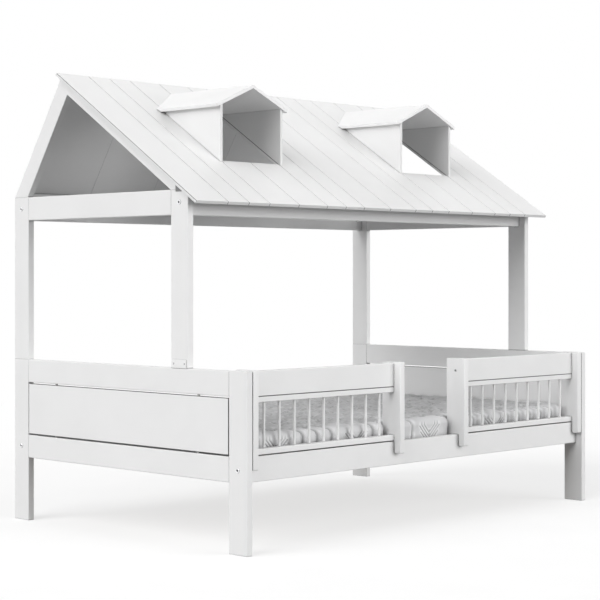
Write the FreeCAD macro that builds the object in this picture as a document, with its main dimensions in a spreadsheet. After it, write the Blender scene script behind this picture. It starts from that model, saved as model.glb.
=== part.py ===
import FreeCAD, Part
import math
import os
import Sketcher

# House frame bed for a child: a low bed with plain board ends, two lift-off guards on the front
# side, and an open house frame that carries a lopsided pitched roof with two dormer windows.
#
# Frame of the model: millimetres, +X to the right along the bed, +Y to the back, +Z up.
# The origin is on the floor, below the middle of the bed.
# Outlines are drawn in two measures: "y" counts from the front faces of the legs towards the
# back, and "z" counts from the floor.

SIZES = (
    # the four legs and the boards between them
    ("frame_length", 2070, "outer faces of the two ends, along the bed"),
    ("frame_depth", 1320, "front face of the front legs to back face of the back legs"),
    ("board", 28, "thickness of every frame board"),
    ("edge_radius", 3, "rounding of the long board edges"),
    ("end_bevel", 1.5, "bevel round the board ends that meet in a flush joint"),
    ("leg_width", 90, "width of a leg"),
    ("leg_height", 640, "height of a leg"),
    ("end_rail_width", 90, "width of the two rails in each end"),
    ("clear_height", 250, "floor to the underside of the low rails"),
    ("panel_thickness", 22, "thickness of the panel in each end"),
    ("panel_gap", 6, "open gap above and below the end panel"),
    ("panel_side_gap", 4, "gap between the end panel and a leg"),
    ("dowel_radius", 5, "radius of a wooden dowel"),
    ("dowel_length", 36, "length of a wooden dowel"),
    ("panel_dowel_spread", 810, "distance between the two dowels of a panel edge"),
    ("post_dowel_spread", 30, "distance between the two dowels under a post"),
    ("side_rail_width", 90, "height of a side rail"),
    ("fit_gap", 0.3, "radial clearance of a bolt, nut or dowel in its hole"),
    # bolts that hold the long boards to the ends
    ("bolt_radius", 3, "radius of a bolt's shank"),
    ("bolt_head_radius", 6.5, "radius of a bolt's head"),
    ("bolt_head_height", 3.2, "height of a bolt's head"),
    ("bolt_reach", 40, "end of the long board to the axis of its barrel nut"),
    ("bolt_tip", 9, "bolt length past the barrel nut's axis"),
    ("key_radius", 2.3, "corner radius of the hexagon socket in a bolt or screw"),
    ("key_depth", 1.8, "depth of that socket"),
    ("nut_radius", 5, "radius of a barrel nut"),
    ("nut_length", 18, "length of a barrel nut"),
    # what carries the mattress
    ("ledge_height", 18, "height of the ledge inside a side rail"),
    ("ledge_depth", 26, "depth of that ledge"),
    ("slat_thickness", 17, "thickness of a bed slat"),
    ("slat_width", 70, "width of a bed slat"),
    ("slat_side_gap", 3, "gap between a slat's end and the side rail"),
    ("slat_end_gap", 30, "gap between the outermost slat and the bed end"),
    ("ledge_end_gap", 15, "gap between a ledge and the bed end"),
    # guards
    ("guard_length", 820, "length of one guard"),
    ("guard_leg_gap", 3, "gap between a guard and the leg beside it"),
    ("stile_width", 90, "width of a guard's upright, front to back"),
    ("stile_rise", 3, "height of the uprights above the legs"),
    ("fork_depth", 46, "depth of the fork that straddles the side rail"),
    ("fork_gap", 0.5, "clearance of the fork on each face of the side rail"),
    ("fork_radius", 7, "rounding of the fork's lower corners"),
    ("guard_rail_width", 90, "width of a guard's top rail"),
    ("guard_rail_drop", 4, "top of the uprights to top of that rail"),
    ("guard_floor_gap", 3.5, "gap between the lower batten and the side rail"),
    ("batten_height", 21, "height of the battens that hold the spindles"),
    ("spindle_radius", 5, "radius of a guard spindle"),
    ("spindle_spacing", 78, "distance between spindles"),
    ("socket_depth", 10, "depth of a spindle's socket"),
    ("screw_radius", 2.5, "radius of a guard screw's shank"),
    ("screw_head_radius", 5, "radius of its sunk head"),
    ("screw_head_height", 3.5, "height of its sunk head"),
    ("screw_length", 70, "length of a guard screw"),
    # posts and beams of the house frame
    ("post_width", 90, "width of an upper post"),
    ("post_height", 644, "height of an upper post"),
    ("front_post_setback", 300, "front faces of the legs to those of the front posts"),
    ("front_post_step", 8, "drop of a front post's top in front of its rafter"),
    ("beam_width", 92, "height of the beams between the posts"),
    ("plate_width", 76.5, "width of the plate at a front post's foot"),
    ("plate_height", 31, "height of that plate"),
    ("plate_thickness", 2.5, "thickness of that plate"),
    ("plate_screw_radius", 1.6, "radius of a plate screw's shank"),
    ("plate_screw_head", 3.2, "radius of its head"),
    ("plate_screw_head_height", 1.4, "height of its head"),
    ("plate_screw_length", 18, "length of a plate screw"),
    ("plate_screw_inset", 10, "side edge of the plate to its screw"),
    # roof
    ("front_slope_angle", 33.2, "angle of the long front slope, degrees"),
    ("back_slope_angle", 57.3, "angle of the short back slope, degrees"),
    ("front_rafter_depth", 42, "depth of a front rafter, square to its slope"),
    ("back_rafter_depth", 71, "depth of a back rafter, square to its slope"),
    ("rafter_foot", 24, "bearing of a front rafter on its post"),
    ("rafter_foot_radius", 8, "rounding above that foot"),
    ("eave_overhang", 76, "reach of the front slope past the front posts"),
    ("gable_overhang", 28, "reach of the front slope past each end"),
    ("roof_panel_thickness", 12, "thickness of the front slope's panels"),
    ("wide_strip", 158, "width of the strip on each side of a panel joint"),
    ("groove_width", 4.5, "width of a groove between strips"),
    ("groove_depth", 3, "depth of a groove between strips"),
    ("back_board_thickness", 12, "thickness of the back slope's boards"),
    ("back_board_recess", 4, "back boards' outer face below the rafters' edge"),
    ("back_board_bevel", 1.5, "bevel along the edges of the back boards"),
    ("ridge_batten_width", 30, "width of the batten below the ridge"),
    ("foot_batten_height", 17, "height of the batten at the foot of the back boards"),
    # dormers
    ("opening_setback", 261, "eave to the lower edge of a window opening, level"),
    ("opening_length", 390, "length of the opening, up the slope"),
    ("cheek_lead", 7, "front edge of a dormer's side ahead of the opening"),
    ("cheek_thickness", 12, "thickness of a dormer's side"),
    ("cheek_height", 217.5, "height of a dormer's side at its front edge"),
    ("dormer_slope_angle", 23.6, "angle of a dormer's roof, degrees"),
    ("dormer_plate", 12, "thickness of a dormer's roof plate"),
    ("dormer_eave", 20, "reach of the roof plates past the dormer's sides"),
    ("dormer_verge", 8, "reach of the roof plates past the sides' front edge"),
    # mattress
    ("mattress_end_gap", 7, "gap between the mattress and a bed end"),
    ("mattress_side_gap", 1.5, "gap between the mattress and a side rail"),
    ("mattress_seat_gap", 0.3, "gap between the mattress and what it lies on"),
    ("mattress_height", 136, "height of the mattress at its top edge"),
    ("mattress_crown", 6, "rise of the middle of its top above that edge"),
    ("mattress_crown_reach", 110, "width of the band over which that crown rises"),
    ("mattress_edge", 34, "rounding of its top edge"),
    ("mattress_base_edge", 16, "rounding of its bottom edge"),
    ("mattress_waist", 3, "draw-in of its sides at mid height"),
    ("mattress_front_corner", 100, "corner radius beside the front legs, in plan"),
    ("mattress_back_corner", 60, "corner radius beside the back legs, in plan"),
    ("dent_gap", 2.5, "gap between the mattress and an upright that presses into it"),
    ("dent_flank", 40, "length of the slope on each side of that dent"),
)

SIDES = ("left", "right")
SPINDLES = 9
SLATS = 14
BACK_BOARDS = 6
ROOF_PANELS = 4
BORE_SIDES = 8  # bores and the pins hidden in them have eight sides, to keep the model light
HEAD_SIDES = 16  # sides of a small round head
OVERCUT = 1.0  # how far a cutting shape runs past the face that it opens
LEAST_BORE = 1.0  # a bore that takes out less than this, in cubic millimetres, missed its piece
PARALLEL = 0.9999  # two directions whose product is above this run the same way

doc = FreeCAD.newDocument("house_frame_bed")
sheet = doc.addObject("Spreadsheet::Sheet", "dims")
for row, (alias, number, meaning) in enumerate(SIZES, start=1):
    sheet.set(f"A{row}", meaning)
    sheet.set(f"B{row}", str(number))
    sheet.setAlias(f"B{row}", alias)
doc.recompute()


class Formula:
    """A size that knows both its formula in the sheet and its present number."""

    def __init__(self, text, number):
        self.text = text
        self.number = number

    def __add__(self, other):
        other = formula(other)
        return Formula(f"({self.text} + {other.text})", self.number + other.number)

    def __sub__(self, other):
        other = formula(other)
        return Formula(f"({self.text} - {other.text})", self.number - other.number)

    def __mul__(self, other):
        other = formula(other)
        return Formula(f"({self.text} * {other.text})", self.number * other.number)

    def __truediv__(self, other):
        other = formula(other)
        return Formula(f"({self.text} / {other.text})", self.number / other.number)

    def __radd__(self, other):
        return formula(other) + self

    def __rsub__(self, other):
        return formula(other) - self

    def __rmul__(self, other):
        return formula(other) * self

    def __neg__(self):
        return Formula(f"(0 - {self.text})", -self.number)


def formula(value):
    return value if isinstance(value, Formula) else Formula(f"{value:.6f}", float(value))


def sine(angle):
    return Formula(f"sin({angle.text})", math.sin(math.radians(angle.number)))


def cosine(angle):
    return Formula(f"cos({angle.text})", math.cos(math.radians(angle.number)))


def tangent(angle):
    return Formula(f"tan({angle.text})", math.tan(math.radians(angle.number)))


class Sheet:
    """The sheet's sizes by name."""

    def __getattr__(self, alias):
        return Formula(f"dims.{alias}", float(sheet.get(alias)))


S = Sheet()

# Places that several pieces share.
HALF_LENGTH = S.frame_length / 2
INNER_LENGTH = S.frame_length - 2 * S.board
FRONT = -S.frame_depth / 2
LEFT_BOARD = -HALF_LENGTH
RIGHT_BOARD = HALF_LENGTH - S.board
INNER_START = LEFT_BOARD + S.board
BACK_LEG = S.frame_depth - S.leg_width
FRONT_RAIL_MIDDLE = S.leg_width / 2
BACK_RAIL_MIDDLE = S.frame_depth - S.leg_width / 2
RAIL_TOP = S.clear_height + S.side_rail_width
LOW_RAIL_TOP = S.clear_height + S.end_rail_width
TOP_RAIL_BOTTOM = S.leg_height - S.end_rail_width
LEDGE_TOP = S.clear_height + S.ledge_height
SLAT_TOP = LEDGE_TOP + S.slat_thickness
POST_INNER = S.front_post_setback + S.post_width
BACK_POST = S.frame_depth - S.post_width
POST_TOP = S.leg_height + S.post_height
BEAM_BOTTOM = POST_TOP - S.beam_width
FRONT_BEAM_MIDDLE = S.front_post_setback + S.post_width / 2
BACK_BEAM_MIDDLE = S.frame_depth - S.post_width / 2
STILE_TOP = S.leg_height + S.stile_rise
GUARD_RAIL_TOP = STILE_TOP - S.guard_rail_drop
GUARD_RAIL_BOTTOM = GUARD_RAIL_TOP - S.guard_rail_width
LOWER_BATTEN = RAIL_TOP + S.guard_floor_gap
UPPER_BATTEN = GUARD_RAIL_BOTTOM - S.batten_height
PANEL_WIDTH = (S.frame_length + 2 * S.gable_overhang) / ROOF_PANELS
ROOF_TOP = S.front_rafter_depth + S.roof_panel_thickness
EAVE_Y = S.front_post_setback - S.eave_overhang
BACK_BOARD_INNER = S.back_board_recess + S.back_board_thickness


def front_slope(y, offset):
    """Height at y of the plane that lies offset above the front rafters' underside."""
    rise = (y - POST_INNER) * tangent(S.front_slope_angle)
    return POST_TOP + rise + offset / cosine(S.front_slope_angle)


def back_slope(z, inset):
    """The y at height z of the plane that lies inset below the back rafters' outer edge."""
    run = (z - POST_TOP) / tangent(S.back_slope_angle)
    return S.frame_depth - run - inset / sine(S.back_slope_angle)


def slope_crossing(offset, inset):
    """Where a plane of front_slope meets a plane of back_slope."""
    front = POST_INNER * tangent(S.front_slope_angle) - offset / cosine(S.front_slope_angle)
    back = S.frame_depth * tangent(S.back_slope_angle) - inset / cosine(S.back_slope_angle)
    y = (front + back) / (tangent(S.front_slope_angle) + tangent(S.back_slope_angle))
    return y, front_slope(y, offset)


# ---------------------------------------------------------------- building blocks

TURNS = {
    "+X": FreeCAD.Rotation(FreeCAD.Vector(0, 1, 0), 90),
    "-X": FreeCAD.Rotation(FreeCAD.Vector(0, 1, 0), -90),
    "+Y": FreeCAD.Rotation(FreeCAD.Vector(1, 0, 0), -90),
    "+Z": FreeCAD.Rotation(),
}
exported = []


def bind(item, field, value):
    item.setExpression(field, formula(value).text)


def place(item, x, y, z, rotation=FreeCAD.Rotation()):
    """Puts item at x, y, z of the model, with y counted from the front faces of the legs."""
    item.Placement = FreeCAD.Placement(FreeCAD.Vector(), rotation)
    bind(item, "Placement.Base.x", x)
    bind(item, "Placement.Base.y", FRONT + y)
    bind(item, "Placement.Base.z", z)


def keep(item, label):
    """Marks item as a piece of the bed: its label is the name of its file."""
    item.Label = label
    exported.append(item)
    return item


def group(label, members):
    compound = doc.addObject("Part::Compound", label)
    compound.Links = members
    return keep(compound, label)


def prism(name, role, points, length):
    """A body: a closed outline on one of its own planes, padded towards +X or +Y."""
    body = doc.addObject("PartDesign::Body", name)
    sketch = body.newObject("Sketcher::SketchObject", name + "_outline")
    planes = [item for item in body.Origin.OriginFeatures if item.Role == role]
    sketch.AttachmentSupport = [(planes[0], "")]
    sketch.MapMode = "FlatFace"
    points = [(formula(across), formula(up)) for across, up in points]
    corners = [FreeCAD.Vector(across.number, up.number, 0) for across, up in points]
    for index, corner in enumerate(corners):
        following = corners[(index + 1) % len(corners)]
        sketch.addGeometry(Part.LineSegment(corner, following), False)
    for index in range(len(corners)):
        following = (index + 1) % len(corners)
        sketch.addConstraint(Sketcher.Constraint("Coincident", index, 2, following, 1))
    for index, (across, up) in enumerate(points):
        for kind, value in (("DistanceX", across), ("DistanceY", up)):
            number = sketch.addConstraint(
                Sketcher.Constraint(kind, -1, 1, index, 1, value.number)
            )
            bind(sketch, f"Constraints[{number}]", value)
    pad = body.newObject("PartDesign::Pad", name + "_pad")
    pad.Profile = sketch
    pad.Reversed = role == "XZ_Plane"
    bind(pad, "Length", length)
    doc.recompute()
    return body


def board(label, points, start, length=None):
    """A board whose outline lies across the bed: y and z, padded along X from start."""
    body = prism(label, "YZ_Plane", points, S.board if length is None else length)
    place(body, start, 0, 0)
    return keep(body, label)


def rectangle(low_across, high_across, low_up, high_up):
    return (
        (low_across, low_up),
        (high_across, low_up),
        (high_across, high_up),
        (low_across, high_up),
    )


def long_edges(body, direction, below=None, above=None):
    """Names of the straight edges that run along direction, within a range of heights."""
    names = []
    for index, edge in enumerate(body.Shape.Edges, start=1):
        start, end = edge.Vertexes[0].Point, edge.Vertexes[-1].Point
        run = end - start
        if edge.isClosed() or abs(run.normalize().dot(direction)) < PARALLEL:
            continue
        if below is not None and max(start.z, end.z) > below.number:
            continue
        if above is not None and min(start.z, end.z) < above.number:
            continue
        names.append(f"Edge{index}")
    return names


def ease(body, direction, radius, below=None, above=None):
    """Rounds the long edges of a board."""
    base = body.Tip
    fillet = body.newObject("PartDesign::Fillet", body.Name + "_easing")
    fillet.Base = (base, long_edges(body, direction, below, above))
    bind(fillet, "Radius", radius)
    doc.recompute()


def bevel(body, direction, width):
    """Bevels the long edges of a board."""
    base = body.Tip
    chamfer = body.newObject("PartDesign::Chamfer", body.Name + "_bevel")
    chamfer.Base = (base, long_edges(body, direction))
    bind(chamfer, "Size", width)
    doc.recompute()


def bevel_ends(body, direction, ends=(-1, 1)):
    """Bevels the ends of a board that face along direction (1) or against it (-1).

    The bevels run across the board's width, on its outer and inner faces.
    """
    base = body.Tip
    end_edges = []
    for face in body.Shape.Faces:
        if any(face.normalAt(0, 0).dot(direction) * end > PARALLEL for end in ends):
            end_edges += face.Edges
    names = []
    for index, edge in enumerate(body.Shape.Edges, start=1):
        along_x = abs(edge.tangentAt(edge.FirstParameter).x) > PARALLEL
        if not along_x and any(edge.isSame(other) for other in end_edges):
            names.append(f"Edge{index}")
    chamfer = body.newObject("PartDesign::Chamfer", body.Name + "_end_bevel")
    chamfer.Base = (base, names)
    bind(chamfer, "Size", S.end_bevel)
    doc.recompute()


def drill(body, direction, x, y, z, radius, depth):
    """A bore that starts at x, y, z of the body and runs along direction.

    Its sides touch a circle of the radius given, so whatever round thing fits that circle fits it.
    """
    volume = body.Shape.Volume
    hole = body.newObject("PartDesign::SubtractivePrism", body.Name + "_hole")
    hole.Polygon = BORE_SIDES
    hole.Placement = FreeCAD.Placement(FreeCAD.Vector(), TURNS[direction])
    bind(hole, "Placement.Base.x", x)
    bind(hole, "Placement.Base.y", y)
    bind(hole, "Placement.Base.z", z)
    bind(hole, "Circumradius", radius / math.cos(math.pi / BORE_SIDES))
    bind(hole, "Height", depth)
    doc.recompute()
    if body.Shape.Volume > volume - LEAST_BORE:
        raise RuntimeError(f"{body.Label}: a hole cuts nothing")
    return hole


ALONG_X = FreeCAD.Vector(1, 0, 0)
ALONG_Y = FreeCAD.Vector(0, 1, 0)
ALONG_Z = FreeCAD.Vector(0, 0, 1)
UP_BACK_SLOPE = FreeCAD.Vector(0, -cosine(S.back_slope_angle).number, sine(S.back_slope_angle).number)


# ---------------------------------------------------------------- bed ends

END_RAIL_MIDDLE = S.frame_depth / 2
BOLT_HEIGHT = S.clear_height + S.side_rail_width / 2
BEAM_BOLT_HEIGHT = BEAM_BOTTOM + S.beam_width / 2
BOLT_HOLE = S.bolt_radius + S.fit_gap
DOWEL_HOLE = S.dowel_radius + S.fit_gap
PANEL_DOWEL_SEAT = (S.dowel_length - S.panel_gap) / 2
POST_DOWEL_SEAT = S.dowel_length / 2


def pair(middle, spread):
    return (middle - spread / 2, middle + spread / 2)


def make_leg(place_name, side, start):
    y = formula(0) if place_name == "front" else BACK_LEG
    outline = rectangle(y, y + S.leg_width, 0, S.leg_height)
    leg = board(f"leg_{place_name}_{side}", outline, start)
    bevel_ends(leg, ALONG_Z, ends=(1,))
    ease(leg, ALONG_Z, S.edge_radius)
    drill(leg, "+X", -OVERCUT, y + S.leg_width / 2, BOLT_HEIGHT, BOLT_HOLE, S.board + 2 * OVERCUT)
    if place_name == "back":
        for dowel_y in pair(BACK_BEAM_MIDDLE, S.post_dowel_spread):
            seat = S.leg_height - POST_DOWEL_SEAT
            drill(leg, "+Z", S.board / 2, dowel_y, seat, DOWEL_HOLE, POST_DOWEL_SEAT + OVERCUT)


def make_end(side, start):
    """The two legs, two rails and panel of one end, and where its dowels go."""
    make_leg("front", side, start)
    make_leg("back", side, start)
    panel_start = start if side == "left" else HALF_LENGTH - S.panel_thickness
    dowel_x = panel_start + S.panel_thickness / 2 - start

    top_outline = rectangle(S.leg_width, BACK_LEG, TOP_RAIL_BOTTOM, S.leg_height)
    top_rail = board(f"end_top_rail_{side}", top_outline, start)
    bevel_ends(top_rail, ALONG_Y)
    ease(top_rail, ALONG_Y, S.edge_radius)
    low_outline = rectangle(S.leg_width, BACK_LEG, S.clear_height, LOW_RAIL_TOP)
    low_rail = board(f"end_lower_rail_{side}", low_outline, start)
    bevel_ends(low_rail, ALONG_Y)
    ease(low_rail, ALONG_Y, S.edge_radius)
    panel_outline = rectangle(
        S.leg_width + S.panel_side_gap,
        BACK_LEG - S.panel_side_gap,
        LOW_RAIL_TOP + S.panel_gap,
        TOP_RAIL_BOTTOM - S.panel_gap,
    )
    panel = board(f"end_panel_{side}", panel_outline, panel_start, S.panel_thickness)
    ease(panel, ALONG_Y, S.edge_radius)

    seat = PANEL_DOWEL_SEAT
    panel_low = LOW_RAIL_TOP + S.panel_gap
    panel_high = TOP_RAIL_BOTTOM - S.panel_gap
    hole = seat + OVERCUT
    for y in pair(END_RAIL_MIDDLE, S.panel_dowel_spread):
        drill(top_rail, "+Z", dowel_x, y, TOP_RAIL_BOTTOM - OVERCUT, DOWEL_HOLE, hole)
        drill(low_rail, "+Z", dowel_x, y, LOW_RAIL_TOP - seat, DOWEL_HOLE, hole)
        drill(panel, "+Z", S.panel_thickness / 2, y, panel_low - OVERCUT, DOWEL_HOLE, hole)
        drill(panel, "+Z", S.panel_thickness / 2, y, panel_high - seat, DOWEL_HOLE, hole)
        add_dowel(start + dowel_x, y, LOW_RAIL_TOP - seat)
        add_dowel(start + dowel_x, y, panel_high - seat)
    for y in pair(FRONT_BEAM_MIDDLE, S.post_dowel_spread):
        low = S.leg_height - POST_DOWEL_SEAT
        drill(top_rail, "+Z", S.board / 2, y, low, DOWEL_HOLE, POST_DOWEL_SEAT + OVERCUT)


dowels = []


def add_dowel(x, y, z):
    dowel = doc.addObject("Part::Prism", "dowel")
    dowel.Polygon = BORE_SIDES
    bind(dowel, "Circumradius", S.dowel_radius)
    bind(dowel, "Height", S.dowel_length)
    place(dowel, x, y, z)
    dowels.append(dowel)


# ---------------------------------------------------------------- long boards and bolts

bolts = []
barrel_nuts = []


def make_fastener(name, head, shank, sunk, keyed):
    """A fastener along its own Z: head and shank are each a radius and a length.

    A sunk head starts at the face that it enters, and any other head stands on that face.
    """
    head_radius, head_height = head
    shank_radius, shank_length = shank
    lift = formula(0) if sunk else -head_height
    body = doc.addObject("PartDesign::Body", name)
    cap = body.newObject("PartDesign::AdditivePrism", name + "_head")
    cap.Polygon = HEAD_SIDES
    bind(cap, "Circumradius", head_radius)
    bind(cap, "Height", head_height)
    bind(cap, "Placement.Base.z", lift)
    pin = body.newObject("PartDesign::AdditivePrism", name + "_shank")
    pin.Polygon = BORE_SIDES
    bind(pin, "Circumradius", shank_radius)
    bind(pin, "Height", shank_length)
    if keyed:
        socket = body.newObject("PartDesign::SubtractivePrism", name + "_socket")
        socket.Polygon = 6
        bind(socket, "Circumradius", S.key_radius)
        bind(socket, "Height", S.key_depth + OVERCUT)
        bind(socket, "Placement.Base.z", lift - OVERCUT)
    return body


def add_bolt(side, y, z):
    """A bolt whose head bears on the outer face of an end and whose shank runs inwards."""
    head = (S.bolt_head_radius, S.bolt_head_height)
    shank = (S.bolt_radius, S.board + S.bolt_reach + S.bolt_tip)
    bolt = make_fastener("bolt", head, shank, sunk=False, keyed=True)
    if side == "left":
        place(bolt, -HALF_LENGTH, y, z, TURNS["+X"])
    else:
        place(bolt, HALF_LENGTH, y, z, TURNS["-X"])
    bolts.append(bolt)


def add_barrel_nut(x, y, z):
    nut = doc.addObject("PartDesign::Body", "barrel_nut")
    barrel = nut.newObject("PartDesign::AdditivePrism", "nut_barrel")
    barrel.Polygon = BORE_SIDES
    barrel.Placement = FreeCAD.Placement(FreeCAD.Vector(), TURNS["+Y"])
    bind(barrel, "Circumradius", S.nut_radius)
    bind(barrel, "Height", S.nut_length)
    bind(barrel, "Placement.Base.y", -S.nut_length / 2)
    doc.recompute()
    drill(nut, "+X", -S.nut_radius - OVERCUT, 0, 0, BOLT_HOLE, 2 * (S.nut_radius + OVERCUT))
    place(nut, x, y, z)
    barrel_nuts.append(nut)


def make_long_board(label, middle, bottom, width, inner_side):
    """A board between the two ends, bolted through them into barrel nuts from its inner side."""
    outline = rectangle(middle - S.board / 2, middle + S.board / 2, bottom, bottom + width)
    rail = board(label, outline, INNER_START, INNER_LENGTH)
    ease(rail, ALONG_X, S.edge_radius)
    z = bottom + width / 2
    depth = S.bolt_reach + S.bolt_tip + 2 * OVERCUT
    drill(rail, "+X", -OVERCUT, middle, z, BOLT_HOLE, depth + OVERCUT)
    drill(rail, "+X", INNER_LENGTH - depth, middle, z, BOLT_HOLE, depth + OVERCUT)
    nut_low = middle - S.nut_length / 2
    if inner_side == "front":
        nut_low = middle - S.board / 2 - OVERCUT
    for x in (S.bolt_reach, INNER_LENGTH - S.bolt_reach):
        nut_hole = (S.nut_length + S.board) / 2 + OVERCUT
        drill(rail, "+Y", x, nut_low, z, S.nut_radius + S.fit_gap, nut_hole)
        add_barrel_nut(INNER_START + x, middle, z)
    for side in SIDES:
        add_bolt(side, middle, z)


# ---------------------------------------------------------------- slats

def make_ledges():
    """Ledges along the side rails' inner faces, which carry the slats."""
    ledges = []
    front_low = FRONT_RAIL_MIDDLE + S.board / 2
    back_low = BACK_RAIL_MIDDLE - S.board / 2 - S.ledge_depth
    for name, low in (("ledge_front", front_low), ("ledge_back", back_low)):
        outline = rectangle(low, low + S.ledge_depth, S.clear_height, LEDGE_TOP)
        ledge = prism(name, "YZ_Plane", outline, INNER_LENGTH - 2 * S.ledge_end_gap)
        place(ledge, INNER_START + S.ledge_end_gap, 0, 0)
        ledges.append(ledge)
    group("slat_ledges", ledges)


def make_slats():
    reach = BACK_RAIL_MIDDLE - FRONT_RAIL_MIDDLE - S.board - 2 * S.slat_side_gap
    pitch = (INNER_LENGTH - 2 * S.slat_end_gap - S.slat_width) / (SLATS - 1)
    first = INNER_START + S.slat_end_gap
    slats = []
    for index in range(SLATS):
        slat = doc.addObject("Part::Box", "slat")
        bind(slat, "Length", S.slat_width)
        bind(slat, "Width", reach)
        bind(slat, "Height", S.slat_thickness)
        y = FRONT_RAIL_MIDDLE + S.board / 2 + S.slat_side_gap
        place(slat, first + index * pitch, y, LEDGE_TOP)
        slats.append(slat)
    group("bed_slats", slats)


# ---------------------------------------------------------------- guards

GUARD_SCREW_HEIGHT = GUARD_RAIL_TOP - S.guard_rail_width / 2


def make_stile(label, start, screw_side):
    """An upright whose forked foot drops over the side rail and rests on its top edge."""
    slot_front = FRONT_RAIL_MIDDLE - S.board / 2 - S.fork_gap
    slot_back = FRONT_RAIL_MIDDLE + S.board / 2 + S.fork_gap
    foot = RAIL_TOP - S.fork_depth
    middle = S.leg_width / 2
    front = middle - S.stile_width / 2
    back = middle + S.stile_width / 2
    outline = (
        (front, foot),
        (slot_front, foot),
        (slot_front, RAIL_TOP),
        (slot_back, RAIL_TOP),
        (slot_back, foot),
        (back, foot),
        (back, STILE_TOP),
        (front, STILE_TOP),
    )
    stile = board(label, outline, start)
    ease(stile, ALONG_X, S.fork_radius, below=foot + OVERCUT)
    ease(stile, ALONG_X, S.edge_radius, above=STILE_TOP - OVERCUT)
    hole = S.screw_radius + S.fit_gap
    drill(stile, "+X", -OVERCUT, middle, GUARD_SCREW_HEIGHT, hole, S.board + 2 * OVERCUT)
    head = S.screw_head_radius + S.fit_gap
    sink = S.screw_head_height + OVERCUT
    low = formula(-OVERCUT) if screw_side == "left" else S.board - S.screw_head_height
    drill(stile, "+X", low, middle, GUARD_SCREW_HEIGHT, head, sink)


def make_batten(name, start, bottom, socket_low):
    """A batten with a row of sockets for the spindles."""
    middle = S.leg_width / 2
    length = S.guard_length - 2 * S.board
    outline = rectangle(
        middle - S.board / 2, middle + S.board / 2, bottom, bottom + S.batten_height
    )
    batten = prism(name, "YZ_Plane", outline, length)
    place(batten, start, 0, 0)
    ease(batten, ALONG_X, S.edge_radius)
    first = length / 2 - S.spindle_spacing * (SPINDLES - 1) / 2
    radius = S.spindle_radius + S.fit_gap
    socket = drill(batten, "+Z", first, middle, socket_low, radius, S.socket_depth + OVERCUT)
    row = batten.newObject("PartDesign::LinearPattern", name + "_sockets")
    row.Originals = [socket]
    axes = [item for item in batten.Origin.OriginFeatures if item.Role == "X_Axis"]
    row.Direction = (axes[0], [""])
    bind(row, "Length", S.spindle_spacing * (SPINDLES - 1))
    row.Occurrences = SPINDLES
    batten.Tip = row
    doc.recompute()
    return batten


def make_guard(side, start):
    """One guard: two forked uprights, a top rail, two battens and a row of spindles."""
    inner = start + S.board
    length = S.guard_length - 2 * S.board
    middle = S.leg_width / 2
    ends = ("outer", "inner") if side == "left" else ("inner", "outer")
    make_stile(f"guard_stile_{side}_{ends[0]}", start, "left")
    make_stile(f"guard_stile_{side}_{ends[1]}", start + S.guard_length - S.board, "right")

    outline = rectangle(
        middle - S.board / 2, middle + S.board / 2, GUARD_RAIL_BOTTOM, GUARD_RAIL_TOP
    )
    top_rail = board(f"guard_top_rail_{side}", outline, inner, length)
    ease(top_rail, ALONG_X, S.edge_radius)
    hole = S.screw_radius + S.fit_gap
    depth = S.screw_length - S.board + OVERCUT
    drill(top_rail, "+X", -OVERCUT, middle, GUARD_SCREW_HEIGHT, hole, depth + OVERCUT)
    drill(top_rail, "+X", length - depth, middle, GUARD_SCREW_HEIGHT, hole, depth + OVERCUT)

    upper = make_batten(f"batten_upper_{side}", inner, UPPER_BATTEN, UPPER_BATTEN - OVERCUT)
    lower_socket = LOWER_BATTEN + S.batten_height - S.socket_depth
    lower = make_batten(f"batten_lower_{side}", inner, LOWER_BATTEN, lower_socket)
    group(f"guard_battens_{side}", [lower, upper])

    spindles = []
    for index in range(SPINDLES):
        spindle = doc.addObject("Part::Cylinder", "spindle")
        bind(spindle, "Radius", S.spindle_radius)
        bind(spindle, "Height", UPPER_BATTEN + S.socket_depth - lower_socket)
        offset = (index - (SPINDLES - 1) / 2) * S.spindle_spacing
        place(spindle, start + S.guard_length / 2 + offset, middle, lower_socket)
        spindles.append(spindle)
    group(f"guard_spindles_{side}", spindles)

    left_screw = add_screw(start, middle, GUARD_SCREW_HEIGHT, "+X")
    right_screw = add_screw(start + S.guard_length, middle, GUARD_SCREW_HEIGHT, "-X")
    group(f"guard_screws_{side}", [left_screw, right_screw])


def add_screw(x, y, z, direction):
    """A sunk screw that holds an upright to the end of the guard's top rail."""
    head = (S.screw_head_radius, S.screw_head_height)
    shank = (S.screw_radius, S.screw_length)
    screw = make_fastener("guard_screw", head, shank, sunk=True, keyed=True)
    place(screw, x, y, z, TURNS[direction])
    return screw


# ---------------------------------------------------------------- house frame

def add_post_dowels(start, middle):
    for y in pair(middle, S.post_dowel_spread):
        add_dowel(start + S.board / 2, y, S.leg_height - POST_DOWEL_SEAT)


def finish_post(post, middle):
    """Edges, beam bolt hole and foot dowels of an upper post."""
    bevel_ends(post, ALONG_Z)
    ease(post, ALONG_Z, S.edge_radius)
    drill(post, "+X", -OVERCUT, middle, BEAM_BOLT_HEIGHT, BOLT_HOLE, S.board + 2 * OVERCUT)
    for y in pair(middle, S.post_dowel_spread):
        low = S.leg_height - OVERCUT
        drill(post, "+Z", S.board / 2, y, low, DOWEL_HOLE, POST_DOWEL_SEAT + OVERCUT)


def make_back_post(side, start):
    outline = rectangle(BACK_POST, S.frame_depth, S.leg_height, POST_TOP)
    post = board(f"upper_post_back_{side}", outline, start)
    finish_post(post, BACK_BEAM_MIDDLE)
    add_post_dowels(start, BACK_BEAM_MIDDLE)


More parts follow.
